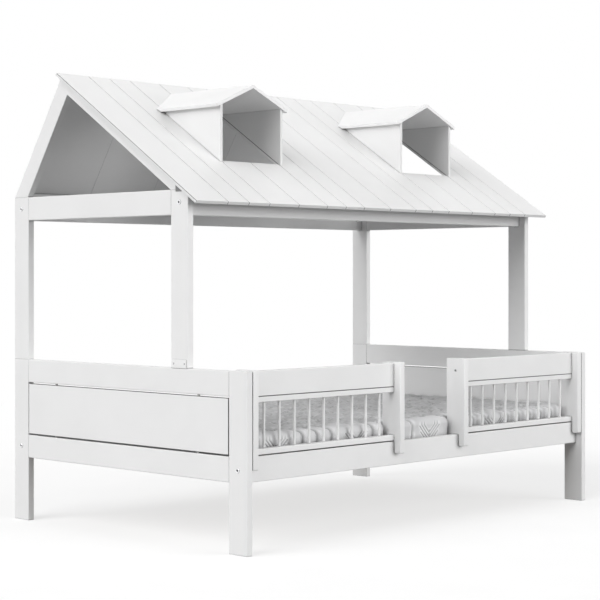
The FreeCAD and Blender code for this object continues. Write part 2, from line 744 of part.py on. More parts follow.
def make_front_post(side, start):
    """A front post: its top steps down before the rafter and is cut to the roof's underside."""
    name = f"upper_post_front_{side}"
    outline = rectangle(S.front_post_setback, POST_INNER, S.leg_height, POST_TOP)
    post = prism(name + "_board", "YZ_Plane", outline, S.board)
    place(post, start, 0, 0)
    finish_post(post, FRONT_BEAM_MIDDLE)
    low_x = -OVERCUT if side == "left" else S.board - S.plate_screw_length
    for y in plate_screw_places():
        hole = S.plate_screw_radius + S.fit_gap
        z = S.leg_height + S.plate_height / 2
        drill(post, "+X", low_x, y, z, hole, S.plate_screw_length + OVERCUT)
    step = post.newObject("PartDesign::SubtractiveBox", name + "_step")
    bind(step, "Length", S.board + 2 * OVERCUT)
    bind(step, "Width", S.post_width - S.rafter_foot + OVERCUT)
    bind(step, "Height", S.front_post_step + OVERCUT)
    bind(step, "Placement.Base.x", formula(-OVERCUT))
    bind(step, "Placement.Base.y", S.front_post_setback - OVERCUT)
    bind(step, "Placement.Base.z", POST_TOP - S.front_post_step)

    slab_front = S.front_post_setback - S.eave_overhang / 2
    slab_back = POST_INNER + S.eave_overhang / 2
    slab_outline = (
        (slab_front, front_slope(slab_front, S.front_rafter_depth)),
        (slab_back, front_slope(slab_back, S.front_rafter_depth)),
        (slab_back, front_slope(slab_back, S.front_rafter_depth + S.beam_width)),
        (slab_front, front_slope(slab_front, S.front_rafter_depth + S.beam_width)),
    )
    slab = prism(name + "_roof", "YZ_Plane", slab_outline, S.board + 2 * OVERCUT)
    place(slab, start - OVERCUT, 0, 0)
    cut = doc.addObject("Part::Cut", name)
    cut.Base = post
    cut.Tool = slab
    keep(cut, name)
    add_post_dowels(start, FRONT_BEAM_MIDDLE)


def make_gable_beam(side, start):
    outline = rectangle(POST_INNER, BACK_POST, BEAM_BOTTOM, POST_TOP)
    beam = board(f"gable_beam_{side}", outline, start)
    bevel_ends(beam, ALONG_Y)
    ease(beam, ALONG_Y, S.edge_radius)


def make_rafters(side, start):
    """A back rafter on the back post, and a front rafter that runs over its top."""
    foot = S.back_rafter_depth / sine(S.back_slope_angle)
    back_outline = (
        (S.frame_depth - foot, POST_TOP),
        (S.frame_depth, POST_TOP),
        slope_crossing(formula(0), formula(0)),
        slope_crossing(formula(0), S.back_rafter_depth),
    )
    back = board(f"rafter_back_{side}", back_outline, start)
    bevel_ends(back, ALONG_Z, ends=(-1,))
    ease(back, UP_BACK_SLOPE, S.edge_radius)

    heel = POST_INNER - S.rafter_foot
    front_outline = (
        (POST_INNER, POST_TOP),
        slope_crossing(formula(0), formula(0)),
        slope_crossing(S.front_rafter_depth, formula(0)),
        (heel, front_slope(heel, S.front_rafter_depth)),
        (heel, POST_TOP),
    )
    front = board(f"rafter_front_{side}", front_outline, start)
    heel_low = front_slope(heel, S.front_rafter_depth) - OVERCUT
    heel_high = front_slope(heel, S.front_rafter_depth) + OVERCUT
    ease(front, ALONG_X, S.rafter_foot_radius, below=heel_high, above=heel_low)


def plate_screw_places():
    inset = S.plate_width / 2 - S.plate_screw_inset
    return (FRONT_BEAM_MIDDLE - inset, FRONT_BEAM_MIDDLE + inset)


def make_post_plates():
    """A thin plate on the outer face of each front post's foot, with its two screws."""
    plates = []
    screws = []
    z = S.leg_height + S.plate_height / 2
    for side in SIDES:
        low = FRONT_BEAM_MIDDLE - S.plate_width / 2
        high = FRONT_BEAM_MIDDLE + S.plate_width / 2
        outline = rectangle(low, high, S.leg_height, S.leg_height + S.plate_height)
        plate = prism("post_plate", "YZ_Plane", outline, S.plate_thickness)
        start = -HALF_LENGTH - S.plate_thickness if side == "left" else HALF_LENGTH
        place(plate, start, 0, 0)
        hole = S.plate_screw_radius + S.fit_gap
        for y in plate_screw_places():
            drill(plate, "+X", -OVERCUT, y, z, hole, S.plate_thickness + 2 * OVERCUT)
            screws.append(add_plate_screw(side, y, z))
        plates.append(plate)
    group("post_plates", plates)
    group("plate_screws", screws)


def add_plate_screw(side, y, z):
    head = (S.plate_screw_head, S.plate_screw_head_height)
    shank = (S.plate_screw_radius, S.plate_screw_length)
    screw = make_fastener("plate_screw", head, shank, sunk=False, keyed=False)
    if side == "left":
        place(screw, -HALF_LENGTH - S.plate_thickness, y, z, TURNS["+X"])
    else:
        place(screw, HALF_LENGTH + S.plate_thickness, y, z, TURNS["-X"])
    return screw


# ---------------------------------------------------------------- roof

NARROW_STRIP = (PANEL_WIDTH - 2 * S.wide_strip) / 2


def panel_profile():
    """Cross-section of a roof panel: V grooves between its strips and half a V at each joint."""
    top = S.roof_panel_thickness
    half = S.groove_width / 2
    points = [(0, 0), (PANEL_WIDTH, 0), (PANEL_WIDTH, top - S.groove_depth), (PANEL_WIDTH - half, top)]
    middles = (
        PANEL_WIDTH - S.wide_strip,
        S.wide_strip + NARROW_STRIP,
        S.wide_strip,
    )
    for middle in middles:
        points += [(middle + half, top), (middle, top - S.groove_depth), (middle - half, top)]
    return points + [(half, top), (0, top - S.groove_depth)]


def make_roof_panels():
    """Four panels side by side; each has half of a dormer's window opening in one side."""
    ridge_y, _ = slope_crossing(ROOF_TOP, formula(0))
    length = (ridge_y - EAVE_Y) / cosine(S.front_slope_angle)
    eave_z = front_slope(EAVE_Y, ROOF_TOP)
    low_y = EAVE_Y + S.roof_panel_thickness * sine(S.front_slope_angle)
    low_z = eave_z - S.roof_panel_thickness * cosine(S.front_slope_angle)
    for index in range(ROOF_PANELS):
        label = f"roof_panel_{index + 1}"
        panel = prism(label, "XZ_Plane", panel_profile(), length)
        opening = panel.newObject("PartDesign::SubtractiveBox", label + "_opening")
        bind(opening, "Length", S.wide_strip + OVERCUT)
        bind(opening, "Width", S.opening_length)
        bind(opening, "Height", S.roof_panel_thickness + 2 * OVERCUT)
        low_x = PANEL_WIDTH - S.wide_strip if index % 2 == 0 else formula(-OVERCUT)
        bind(opening, "Placement.Base.x", low_x)
        bind(opening, "Placement.Base.y", S.opening_setback / cosine(S.front_slope_angle))
        bind(opening, "Placement.Base.z", formula(-OVERCUT))
        slope = FreeCAD.Rotation(ALONG_X, S.front_slope_angle.number)
        start = -HALF_LENGTH - S.gable_overhang + index * PANEL_WIDTH
        place(panel, start, low_y, low_z, slope)
        keep(panel, label)


def make_back_boards():
    """Boards of the back slope, side by side between the back rafters."""
    width = INNER_LENGTH / BACK_BOARDS
    outline = (
        (back_slope(POST_TOP, BACK_BOARD_INNER), POST_TOP),
        (back_slope(POST_TOP, S.back_board_recess), POST_TOP),
        slope_crossing(S.front_rafter_depth, S.back_board_recess),
        slope_crossing(S.front_rafter_depth, BACK_BOARD_INNER),
    )
    boards = []
    for index in range(BACK_BOARDS):
        plank = prism("back_board", "YZ_Plane", outline, width)
        bevel(plank, UP_BACK_SLOPE, S.back_board_bevel)
        place(plank, INNER_START + index * width, 0, 0)
        boards.append(plank)
    group("back_roof_boards", boards)


def make_roof_battens():
    """Battens that carry the panels and boards between the rafters."""
    start = INNER_START
    half = S.board / 2
    low, high = FRONT_BEAM_MIDDLE - half, FRONT_BEAM_MIDDLE + half
    eave_outline = (
        (low, POST_TOP),
        (high, POST_TOP),
        (high, front_slope(high, S.front_rafter_depth)),
        (low, front_slope(low, S.front_rafter_depth)),
    )
    board("roof_batten_eave", eave_outline, start, INNER_LENGTH)

    foot_top = POST_TOP + S.foot_batten_height
    low = BACK_BEAM_MIDDLE - half
    foot_outline = (
        (low, POST_TOP),
        (back_slope(POST_TOP, BACK_BOARD_INNER), POST_TOP),
        (back_slope(foot_top, BACK_BOARD_INNER), foot_top),
        (low, foot_top),
    )
    board("roof_batten_foot", foot_outline, start, INNER_LENGTH)

    under_y, under_z = slope_crossing(formula(0), BACK_BOARD_INNER)
    over_y, over_z = slope_crossing(S.front_rafter_depth, BACK_BOARD_INNER)
    step_y = S.ridge_batten_width * cosine(S.front_slope_angle)
    step_z = S.ridge_batten_width * sine(S.front_slope_angle)
    ridge_outline = (
        (under_y, under_z),
        (over_y, over_z),
        (over_y - step_y, over_z - step_z),
        (under_y - step_y, under_z - step_z),
    )
    board("roof_batten_ridge", ridge_outline, start, INNER_LENGTH)


# ---------------------------------------------------------------- dormers

CHEEK_Y = EAVE_Y + S.opening_setback - S.cheek_lead
CHEEK_FOOT = front_slope(CHEEK_Y, ROOF_TOP)
CHEEK_TOP = CHEEK_FOOT + S.cheek_height
CHEEK_INNER_TOP = CHEEK_TOP + S.cheek_thickness * tangent(S.dormer_slope_angle)
DORMER_RIDGE = CHEEK_TOP + (S.wide_strip + S.cheek_thickness) * tangent(S.dormer_slope_angle)


def above_slope(front, top):
    """Side outline of what stands on the front slope, from y front up to height top."""
    back = front + (top - front_slope(front, ROOF_TOP)) / tangent(S.front_slope_angle)
    return (front, front_slope(front, ROOF_TOP)), (back, top), (front, top)


def common(label, first, second):
    piece = doc.addObject("Part::Common", label)
    piece.Base = first
    piece.Tool = second
    return keep(piece, label)


def make_cheek(label, middle, hand):
    """A dormer's side: a triangle on the slope whose top edge is bevelled to the roof plate."""
    inner = hand * S.wide_strip
    outer = hand * (S.wide_strip + S.cheek_thickness)
    side_outline = above_slope(CHEEK_Y, CHEEK_INNER_TOP)
    side = prism(label + "_side", "YZ_Plane", side_outline, S.cheek_thickness)
    place(side, middle + (inner if hand > 0 else outer), 0, 0)
    front_outline = [
        (inner, POST_TOP),
        (outer, POST_TOP),
        (outer, CHEEK_TOP),
        (inner, CHEEK_INNER_TOP),
    ]
    front = prism(label + "_front", "XZ_Plane", front_outline, S.frame_depth)
    place(front, middle, 0, 0)
    common(label, side, front)


def make_dormer_plate(label, middle, hand):
    """A dormer's roof plate, cut where it meets the main slope."""
    eave = S.wide_strip + S.cheek_thickness + S.dormer_eave
    eave_z = DORMER_RIDGE - eave * tangent(S.dormer_slope_angle)
    lean = S.dormer_plate * sine(S.dormer_slope_angle)
    ridge_top = DORMER_RIDGE + S.dormer_plate / cosine(S.dormer_slope_angle)
    front_outline = [
        (0, DORMER_RIDGE),
        (hand * eave, eave_z),
        (hand * (eave + lean), eave_z + S.dormer_plate * cosine(S.dormer_slope_angle)),
        (0, ridge_top),
    ]
    front = prism(label + "_front", "XZ_Plane", front_outline, S.frame_depth)
    place(front, middle, 0, 0)
    side_outline = above_slope(CHEEK_Y - S.dormer_verge, ridge_top + OVERCUT)
    reach = eave + lean + OVERCUT
    side = prism(label + "_side", "YZ_Plane", side_outline, 2 * reach)
    place(side, middle - reach, 0, 0)
    common(label, front, side)


def make_dormers():
    """Each dormer stands over the joint between two roof panels."""
    for side, middle in (("left", -PANEL_WIDTH), ("right", PANEL_WIDTH)):
        for end, hand in (("west", -1), ("east", 1)):
            make_cheek(f"dormer_{side}_cheek_{end}", middle, hand)
            make_dormer_plate(f"dormer_{side}_roof_{end}", middle, hand)


# ---------------------------------------------------------------- mattress

def mattress_plan(height, inset, stile_places):
    """Plan outline of the mattress at one height, drawn in by inset on every side.

    The front side is dented where the guards' inner uprights press into it.
    """
    half = INNER_LENGTH.number / 2 - S.mattress_end_gap.number - inset
    rail = S.leg_width.number / 2 + S.board.number / 2
    front_y = FRONT.number + rail + S.mattress_side_gap.number + inset
    back_y = -FRONT.number - rail - S.mattress_side_gap.number - inset
    front_corner = max(S.mattress_front_corner.number - inset, S.mattress_base_edge.number)
    back_corner = max(S.mattress_back_corner.number - inset, S.mattress_base_edge.number)
    stile_back = FRONT.number + (S.leg_width.number + S.stile_width.number) / 2
    dent_gap = S.dent_gap.number + min(inset, S.mattress_edge.number)
    half_dent = S.board.number / 2 + dent_gap
    flank = S.dent_flank.number
    dent_y = max(stile_back + dent_gap, front_y + S.dent_gap.number)

    def at(x, y):
        return FreeCAD.Vector(x, y, height)

    def arc(start, centre, end):
        """The short arc from start to end about centre."""
        middle = (start + end) * 0.5 - centre
        through = centre + middle * ((start - centre).Length / middle.Length)
        return Part.Arc(start, through, end).toShape()

    # the front side from left to right, with a sloped dent at each of the two uprights
    edges = []
    previous = at(-half + front_corner, front_y)
    for x in stile_places:
        turns = (
            at(x - half_dent - flank, front_y),
            at(x - half_dent, dent_y),
            at(x + half_dent, dent_y),
            at(x + half_dent + flank, front_y),
        )
        for corner in turns:
            edges.append(Part.LineSegment(previous, corner).toShape())
            previous = corner
    front_right = at(half - front_corner, front_y)
    right_front = at(half, front_y + front_corner)
    right_back = at(half, back_y - back_corner)
    back_right = at(half - back_corner, back_y)
    back_left = at(-half + back_corner, back_y)
    left_back = at(-half, back_y - back_corner)
    left_front = at(-half, front_y + front_corner)
    front_left = at(-half + front_corner, front_y)
    edges.append(Part.LineSegment(previous, front_right).toShape())
    edges.append(arc(front_right, at(front_right.x, right_front.y), right_front))
    edges.append(Part.LineSegment(right_front, right_back).toShape())
    edges.append(arc(right_back, at(back_right.x, right_back.y), back_right))
    edges.append(Part.LineSegment(back_right, back_left).toShape())
    edges.append(arc(back_left, at(back_left.x, left_back.y), left_back))
    edges.append(Part.LineSegment(left_back, left_front).toShape())
    edges.append(arc(left_front, at(front_left.x, left_front.y), front_left))
    return Part.Wire(edges)


def mattress_levels():
    """Heights above the mattress's base and draw-ins there: rounded edges, waist and crown."""
    base = S.mattress_base_edge.number
    edge = S.mattress_edge.number
    height = S.mattress_height.number
    levels = []
    for angle in (0, 45):
        turn = math.radians(angle)
        levels.append((base * (1 - math.cos(turn)), base * (1 - math.sin(turn))))
    levels.append((base, 0))
    levels.append(((base + height - edge) / 2, S.mattress_waist.number))
    levels.append((height - edge, 0))
    for angle in (35, 65):
        turn = math.radians(angle)
        levels.append((height - edge * (1 - math.sin(turn)), edge * (1 - math.cos(turn))))
    for share in (0, 1):
        rise = S.mattress_crown.number * share
        levels.append((height + rise, edge + S.mattress_crown_reach.number * share))
    return levels


def make_mattress():
    """A soft block, drawn in at its waist and crowned, in ruled spans between plan outlines."""
    base = SLAT_TOP.number + S.mattress_seat_gap.number
    guard_end = INNER_START.number + S.guard_leg_gap.number + S.guard_length.number
    stile_middle = guard_end - S.board.number / 2
    stiles = (stile_middle, -stile_middle)
    plans = [mattress_plan(base + up, inset, stiles) for up, inset in mattress_levels()]
    mattress = doc.addObject("Part::Feature", "mattress")
    mattress.Shape = Part.makeLoft(plans, True, True)
    keep(mattress, "mattress")


# ---------------------------------------------------------------- the whole bed

for end_side, end_start in (("left", LEFT_BOARD), ("right", RIGHT_BOARD)):
    make_end(end_side, end_start)
make_long_board("side_rail_front", FRONT_RAIL_MIDDLE, S.clear_height, S.side_rail_width, "back")
make_long_board("side_rail_back", BACK_RAIL_MIDDLE, S.clear_height, S.side_rail_width, "front")
make_ledges()
make_slats()
make_guard("left", INNER_START + S.guard_leg_gap)
make_guard("right", HALF_LENGTH - S.board - S.guard_leg_gap - S.guard_length)
for end_side, end_start in (("left", LEFT_BOARD), ("right", RIGHT_BOARD)):
    make_back_post(end_side, end_start)
    make_front_post(end_side, end_start)
    make_gable_beam(end_side, end_start)
    make_rafters(end_side, end_start)
make_long_board("roof_beam_front", FRONT_BEAM_MIDDLE, BEAM_BOTTOM, S.beam_width, "back")
make_long_board("roof_beam_back", BACK_BEAM_MIDDLE, BEAM_BOTTOM, S.beam_width, "front")
make_post_plates()
make_roof_panels()
make_back_boards()
make_roof_battens()
make_dormers()
make_mattress()
group("dowels", dowels)
group("frame_bolts", bolts)
group("barrel_nuts", barrel_nuts)

doc.recompute()
for item in doc.Objects:
    if "Invalid" in item.State or "Error" in item.State:
        raise RuntimeError(f"{item.Label} failed: {item.State}")
for item in exported:
    if item.Shape.isNull() or not item.Shape.isValid():
        raise RuntimeError(f"{item.Label} has no valid shape")

os.makedirs("parts", exist_ok=True)
for item in exported:
    item.Shape.exportStep(f"parts/{item.Label}.step")
print(f"{len(exported)} pieces written")
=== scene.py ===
import math

import bmesh
import bpy
import numpy as np
from mathutils import Euler, Matrix, Vector
from mathutils.kdtree import KDTree


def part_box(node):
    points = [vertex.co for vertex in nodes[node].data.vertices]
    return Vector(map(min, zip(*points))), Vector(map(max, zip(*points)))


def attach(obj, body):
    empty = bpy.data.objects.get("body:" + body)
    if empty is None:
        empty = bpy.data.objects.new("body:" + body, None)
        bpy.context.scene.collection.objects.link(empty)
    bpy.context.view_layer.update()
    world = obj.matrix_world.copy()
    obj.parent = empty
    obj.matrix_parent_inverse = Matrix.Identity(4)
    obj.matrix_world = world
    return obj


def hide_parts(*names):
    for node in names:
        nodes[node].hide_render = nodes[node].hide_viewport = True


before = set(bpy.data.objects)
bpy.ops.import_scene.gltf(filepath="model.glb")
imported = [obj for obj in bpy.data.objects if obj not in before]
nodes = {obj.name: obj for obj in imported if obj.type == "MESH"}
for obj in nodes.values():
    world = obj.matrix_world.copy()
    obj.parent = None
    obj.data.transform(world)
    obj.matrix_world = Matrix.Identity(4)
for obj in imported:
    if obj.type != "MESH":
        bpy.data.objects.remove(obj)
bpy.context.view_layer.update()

# places and angles of the CAD part, in metres and radians
FRONT = -0.660  # front faces of the legs
HALF_LENGTH = 1.035  # outer faces of the ends
RAIL_MIDDLE_Y = 0.615  # middle of a side rail, and of the back posts
FRONT_POST_Y = FRONT + 0.345  # middle of the front posts
RAIL_BOLT_Z = 0.295  # height of the bolts into the side rails
BEAM_BOLT_Z = 1.238  # height of the bolts into the roof beams
RAIL_TOP = 0.340  # top of the side rails
ROOF_ANGLE = math.radians(33.2)  # slope of the long front side
BACK_ANGLE = math.radians(57.3)  # slope of the short back side
WIDE_STRIP = 0.158  # roof strip on each side of a panel joint


# ------------------------------------------------------------ node helpers


class Graph:
    """A material's node tree with short calls."""

    def __init__(self, name):
        self.material = bpy.data.materials.new(name)
        self.material.use_nodes = True
        self.tree = self.material.node_tree
        self.tree.nodes.clear()
        self.output = self.tree.nodes.new("ShaderNodeOutputMaterial")

    def node(self, kind, **settings):
        made = self.tree.nodes.new(kind)
        for key, value in settings.items():
            setattr(made, key, value)
        return made

    def link(self, source, target):
        self.tree.links.new(source, target)

    def value(self, socket, value):
        """Sets an input socket, by a link where value is an output socket."""
        if isinstance(value, bpy.types.NodeSocket):
            self.link(value, socket)
        else:
            socket.default_value = value

    def mapped(self, direction=(1, 0, 0), stretch=(1.0, 1.0, 1.0)):
        """Object coordinates with their X along direction, divided by stretch."""
        coordinates = self.node("ShaderNodeTexCoord")
        mapping = self.node("ShaderNodeMapping", vector_type="TEXTURE")
        turn = Vector((1, 0, 0)).rotation_difference(Vector(direction))
        mapping.inputs["Rotation"].default_value = turn.to_euler()
        mapping.inputs["Scale"].default_value = stretch
        self.link(coordinates.outputs["Object"], mapping.inputs["Vector"])
        return mapping.outputs["Vector"]

    def noise(self, vector, scale, detail=3.0, roughness=0.5):
        made = self.node("ShaderNodeTexNoise")
        self.link(vector, made.inputs["Vector"])
        made.inputs["Scale"].default_value = scale
        made.inputs["Detail"].default_value = detail
        made.inputs["Roughness"].default_value = roughness
        return made.outputs["Fac"]

    def ramp(self, value, stops):
        made = self.node("ShaderNodeValToRGB")
        self.link(value, made.inputs["Fac"])
        elements = made.color_ramp.elements
        for _ in range(len(stops) - 2):
            elements.new(0.5)
        for element, (place, colour) in zip(elements, stops):
            element.position = place
            element.color = (*colour, 1)
        return made.outputs["Color"]

    def spread(self, value, low, high, start=0.0, end=1.0):
        """Maps start to end onto low to high."""
        made = self.node("ShaderNodeMapRange")
        self.link(value, made.inputs["Value"])
        made.inputs["From Min"].default_value = start
        made.inputs["From Max"].default_value = end
        made.inputs["To Min"].default_value = low
        made.inputs["To Max"].default_value = high
        return made.outputs["Result"]

    def bump(self, height, strength, distance, normal=None):
        made = self.node("ShaderNodeBump")
        made.inputs["Strength"].default_value = strength
        made.inputs["Distance"].default_value = distance
        self.link(height, made.inputs["Height"])
        if normal is not None:
            self.link(normal, made.inputs["Normal"])
        return made.outputs["Normal"]

    def times(self, first, second):
        """The product of two colours."""
        made = self.node("ShaderNodeMix", data_type="RGBA", blend_type="MULTIPLY")
        made.inputs[0].default_value = 1.0
        self.link(first, made.inputs[6])
        self.link(second, made.inputs[7])
        return made.outputs[2]

    def painted_gap_shade(self, tone, reach=0.008, darkest=0.30, low=0.20, high=0.85):
        """The tone with painted shade: darker where a gap or contact line narrower than reach takes
        its light.
        """
        hollow = self.node("ShaderNodeAmbientOcclusion", samples=6)
        hollow.inputs["Distance"].default_value = reach
        shade = self.ramp(hollow.outputs["AO"], ((low, (darkest,) * 3), (high, (1, 1, 1))))
        return self.times(tone, shade)

    def math(self, operation, first, second=0.0):
        made = self.node("ShaderNodeMath", operation=operation)
        self.value(made.inputs[0], first)
        self.value(made.inputs[1], second)
        return made.outputs[0]

    def shader(self, **values):
        made = self.node("ShaderNodeBsdfPrincipled")
        for key, value in values.items():
            self.value(made.inputs[key.replace("_", " ")], value)
        self.link(made.outputs["BSDF"], self.output.inputs["Surface"])
        return made


def tinted(colour, factor):
    return tuple(min(1.0, channel * factor) for channel in colour)


def lacquer(name, direction, colour=(0.85, 0.85, 0.85), grain=0.10, lines=None, reach=0.008):
    """Satin lacquer on a board whose grain runs along direction.

    grain is how much of it shows, lines gives painted shadow lines along joints, and reach is how
    wide the gaps are that get painted shade.
    """
    graph = Graph(name)
    along = graph.mapped(direction, (0.55, 0.018, 0.018))
    plain = graph.mapped()
    fibres = graph.noise(along, 1.0, 5.0, 0.6)
    mottle = graph.noise(plain, 5.5, 3.0)
    stops = ((0.25, tinted(colour, 0.975)), (0.75, tinted(colour, 1.012)))
    # painted shade: darker in narrow gaps and contact lines
    tone = graph.painted_gap_shade(graph.ramp(mottle, stops), reach)
    # painted shadow lines along joints, where they are given
    if lines:
        tone = graph.times(tone, lines(graph, plain))
    roughness = graph.spread(graph.noise(plain, 38.0, 2.0), 0.36, 0.48)
    edge = graph.node("ShaderNodeBevel", samples=4)
    edge.inputs["Radius"].default_value = 0.0006
    skin = graph.bump(graph.noise(plain, 620.0, 2.0), 0.10, 0.0004, edge.outputs["Normal"])
    normal = graph.bump(fibres, grain, 0.0012, skin)
    shader = graph.shader(Base_Color=tone, Roughness=roughness, Normal=normal)
    shader.inputs["IOR"].default_value = 1.46
    return graph.material


def roof_joints_and_groove_shade(graph, vector):
    """Thin dark joints between the strips of the roof panels, through their whole thickness, which
    also paint the shade in the grooves along them.
    """
    panel = (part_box("roof_panel_1")[1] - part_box("roof_panel_1")[0]).x
    parts = graph.node("ShaderNodeSeparateXYZ")
    graph.link(vector, parts.inputs[0])
    x = parts.outputs["X"]
    # distance along X to the nearest joint between two panels, from 0 to half a panel
    place = graph.math("PINGPONG", graph.math("ADD", x, 2 * panel), panel / 2)
    nearest = place
    for line in (WIDE_STRIP, panel / 2):
        off = graph.math("ABSOLUTE", graph.math("SUBTRACT", place, line))
        nearest = graph.math("MINIMUM", nearest, off)
    # no line on the faces that look along X: the outer edges and the sides of the openings
    facing_parts = graph.node("ShaderNodeSeparateXYZ")
    graph.link(graph.node("ShaderNodeNewGeometry").outputs["True Normal"], facing_parts.inputs[0])
    sideways = graph.math("ABSOLUTE", facing_parts.outputs["X"])
    nearest = graph.math("ADD", nearest, graph.math("GREATER_THAN", sideways, 0.95))
    # dark joint lines that also paint the shade of the grooves
    shade = graph.spread(nearest, 0.0, 1.0, 0.0010, 0.0019)
    return graph.ramp(shade, ((0.0, (0.18,) * 3), (1.0, (1, 1, 1))))


def shadow_line_at(height, reach=0.0012):
    """A painted shadow line at a height: the shade of the gap where one board meets or faces
    another.
    """

    def lines(graph, vector):
        parts = graph.node("ShaderNodeSeparateXYZ")
        graph.link(vector, parts.inputs[0])
        off = graph.math("ABSOLUTE", graph.math("SUBTRACT", parts.outputs["Z"], height))
        # painted shadow along the gap
        shade = graph.spread(off, 0.0, 1.0, reach, 2 * reach)
        return graph.ramp(shade, ((0.0, (0.20,) * 3), (1.0, (1, 1, 1))))

    return lines


def bare_wood(name, direction, colour):
    """Planed, unpainted wood with growth rings and pores along direction."""
    graph = Graph(name)
    along = graph.mapped(direction, (1.3, 0.05, 0.05))
    fine = graph.mapped(direction, (0.10, 0.0016, 0.0016))
    rings = graph.noise(along, 3.0, 4.0, 0.55)
    pores = graph.noise(fine, 1.0, 3.0, 0.6)
    stops = (
        (0.30, tinted(colour, 0.80)),
        (0.50, colour),
        (0.70, tinted(colour, 1.12)),
    )
    tone = graph.ramp(rings, stops)
    normal = graph.bump(pores, 0.25, 0.0006)
    roughness = graph.spread(pores, 0.5, 0.7)
    graph.shader(Base_Color=tone, Roughness=roughness, Normal=normal)
    return graph.material


def plated_steel(name, colour, metallic, low, high, cloud=0.10):
    """Zinc-plated or coated steel with faint tool marks, and painted shade in its narrow gaps."""
    graph = Graph(name)
    plain = graph.mapped()
    marks = graph.noise(plain, 900.0, 3.0)
    clouds = graph.noise(plain, 120.0, 2.0)
    stops = ((0.3, tinted(colour, 1 - cloud)), (0.7, tinted(colour, 1 + 0.6 * cloud)))
    tone = graph.painted_gap_shade(graph.ramp(clouds, stops), reach=0.003, darkest=0.12, high=0.95)
    roughness = graph.spread(clouds, low, high)
    normal = graph.bump(marks, 0.12, 0.0003)
    shader = graph.shader(Base_Color=tone, Roughness=roughness, Normal=normal)
    shader.inputs["Metallic"].default_value = metallic
    return graph.material


def satin(name, colour):
    """A knitted satin cover: rows of stitches, a soft lustre, painted shade in its gaps, and
    painted shade and highlights from the mesh: darker seams and creases, lighter ridges.
    """
    graph = Graph(name)
    plain = graph.mapped()
    wales = graph.node("ShaderNodeTexWave", wave_type="BANDS", bands_direction="DIAGONAL")
    graph.link(plain, wales.inputs["Vector"])
    wales.inputs["Scale"].default_value = 210.0
    wales.inputs["Distortion"].default_value = 1.5
    wales.inputs["Detail"].default_value = 2.0
    loops = graph.node("ShaderNodeTexVoronoi", feature="F1")
    graph.link(plain, loops.inputs["Vector"])
    loops.inputs["Scale"].default_value = 700.0
    clouds = graph.noise(plain, 9.0, 4.0)
    stops = ((0.25, tinted(colour, 0.94)), (0.75, tinted(colour, 1.04)))
    # the mesh attribute read here holds painted shade in the seams and creases and painted
    # highlights on the ridges
    seams = graph.node("ShaderNodeAttribute", attribute_name="seam")
    painted_shade_stops = ((0.0, (1.10,) * 3), (0.3, (0.80,) * 3), (1.0, (0.32,) * 3))
    painted_shade_tone = graph.ramp(seams.outputs["Fac"], painted_shade_stops)
    tone = graph.times(graph.ramp(clouds, stops), painted_shade_tone)
    # painted shade in gaps and where the cover meets the boards
    tone = graph.painted_gap_shade(tone, reach=0.030, darkest=0.22, low=0.10, high=0.75)
    roughness = graph.spread(clouds, 0.42, 0.54)
    fine = graph.bump(loops.outputs["Distance"], 0.25, 0.0005)
    normal = graph.bump(wales.outputs["Fac"], 0.12, 0.0004, fine)
    shader = graph.shader(Base_Color=tone, Roughness=roughness, Normal=normal)
    shader.inputs["IOR"].default_value = 1.5
    shader.inputs["Sheen Weight"].default_value = 0.15
    shader.inputs["Sheen Roughness"].default_value = 0.4
    return graph.material


UP_FRONT = (0, math.cos(ROOF_ANGLE), math.sin(ROOF_ANGLE))
UP_BACK = (0, -math.cos(BACK_ANGLE), math.sin(BACK_ANGLE))
white_x = lacquer("lacquer_along_x", (1, 0, 0))
white_y = lacquer("lacquer_along_y", (0, 1, 0))
white_z = lacquer("lacquer_along_z", (0, 0, 1))
white_front = lacquer("lacquer_up_front_slope", UP_FRONT)
white_back = lacquer("lacquer_up_back_slope", UP_BACK)
# painted shadow line along the top of the end panels, under their rails
panel_shadow_line = shadow_line_at(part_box("end_panel_left")[1].z, 0.0010)
# a wider reach: painted shade broader where the mattress meets the end panels
panel_white = lacquer("lacquer_on_panel", (0, 1, 0), grain=0.03, lines=panel_shadow_line, reach=0.030)
# the same white lacquer made darker on the roof panels, as painted shade
shaded_roof_white = lacquer("shaded_lacquer_on_roof_panels", UP_FRONT, (0.80,) * 3, 0.03, roof_joints_and_groove_shade)
# the same white lacquer made darker still on the dormer sides, as painted shade
shaded_cheek_white = lacquer("shaded_lacquer_on_dormer_sides", UP_FRONT, (0.76,) * 3, 0.03)
# the same white lacquer made lighter on the dormer roofs, as painted light
lit_dormer_white = lacquer("lit_lacquer_on_dormer_roofs", UP_FRONT, (0.88,) * 3, 0.03)
# painted shadow line under the guards' top rails
guard_shadow_line = shadow_line_at(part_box("guard_top_rail_left")[0].z)
guard_white = lacquer("lacquer_on_guard_rails", (1, 0, 0), lines=guard_shadow_line)
# painted shadow line under the feet of the front posts
post_shadow_line = shadow_line_at(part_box("upper_post_front_left")[0].z)
post_white = lacquer("lacquer_on_front_posts", (0, 0, 1), lines=post_shadow_line)
# a wider reach: painted shade broader where the mattress meets the side rails
rail_white = lacquer("lacquer_on_side_rails", (1, 0, 0), reach=0.030)
back_white = lacquer("lacquer_on_back_boards", UP_BACK, (0.84,) * 3, 0.04)
softwood = bare_wood("planed_softwood", (0, 1, 0), (0.70, 0.52, 0.31))
painted_dowel = lacquer("lacquer_on_dowels", (0, 0, 1), (0.86, 0.85, 0.83), 0.03)
zinc = plated_steel("zinc_plate", (0.80, 0.80, 0.81), 1.0, 0.26, 0.42)
# a dark copy of the zinc, as painted shade on the rims of heads and in their sockets and recesses
shaded_zinc = plated_steel("zinc_in_shadow", (0.10, 0.10, 0.105), 0.5, 0.35, 0.50)
coated = plated_steel("white_coated_steel", (0.87, 0.87, 0.87), 0.0, 0.30, 0.42, 0.02)
cover = satin("quilted_satin", (0.78, 0.782, 0.79))


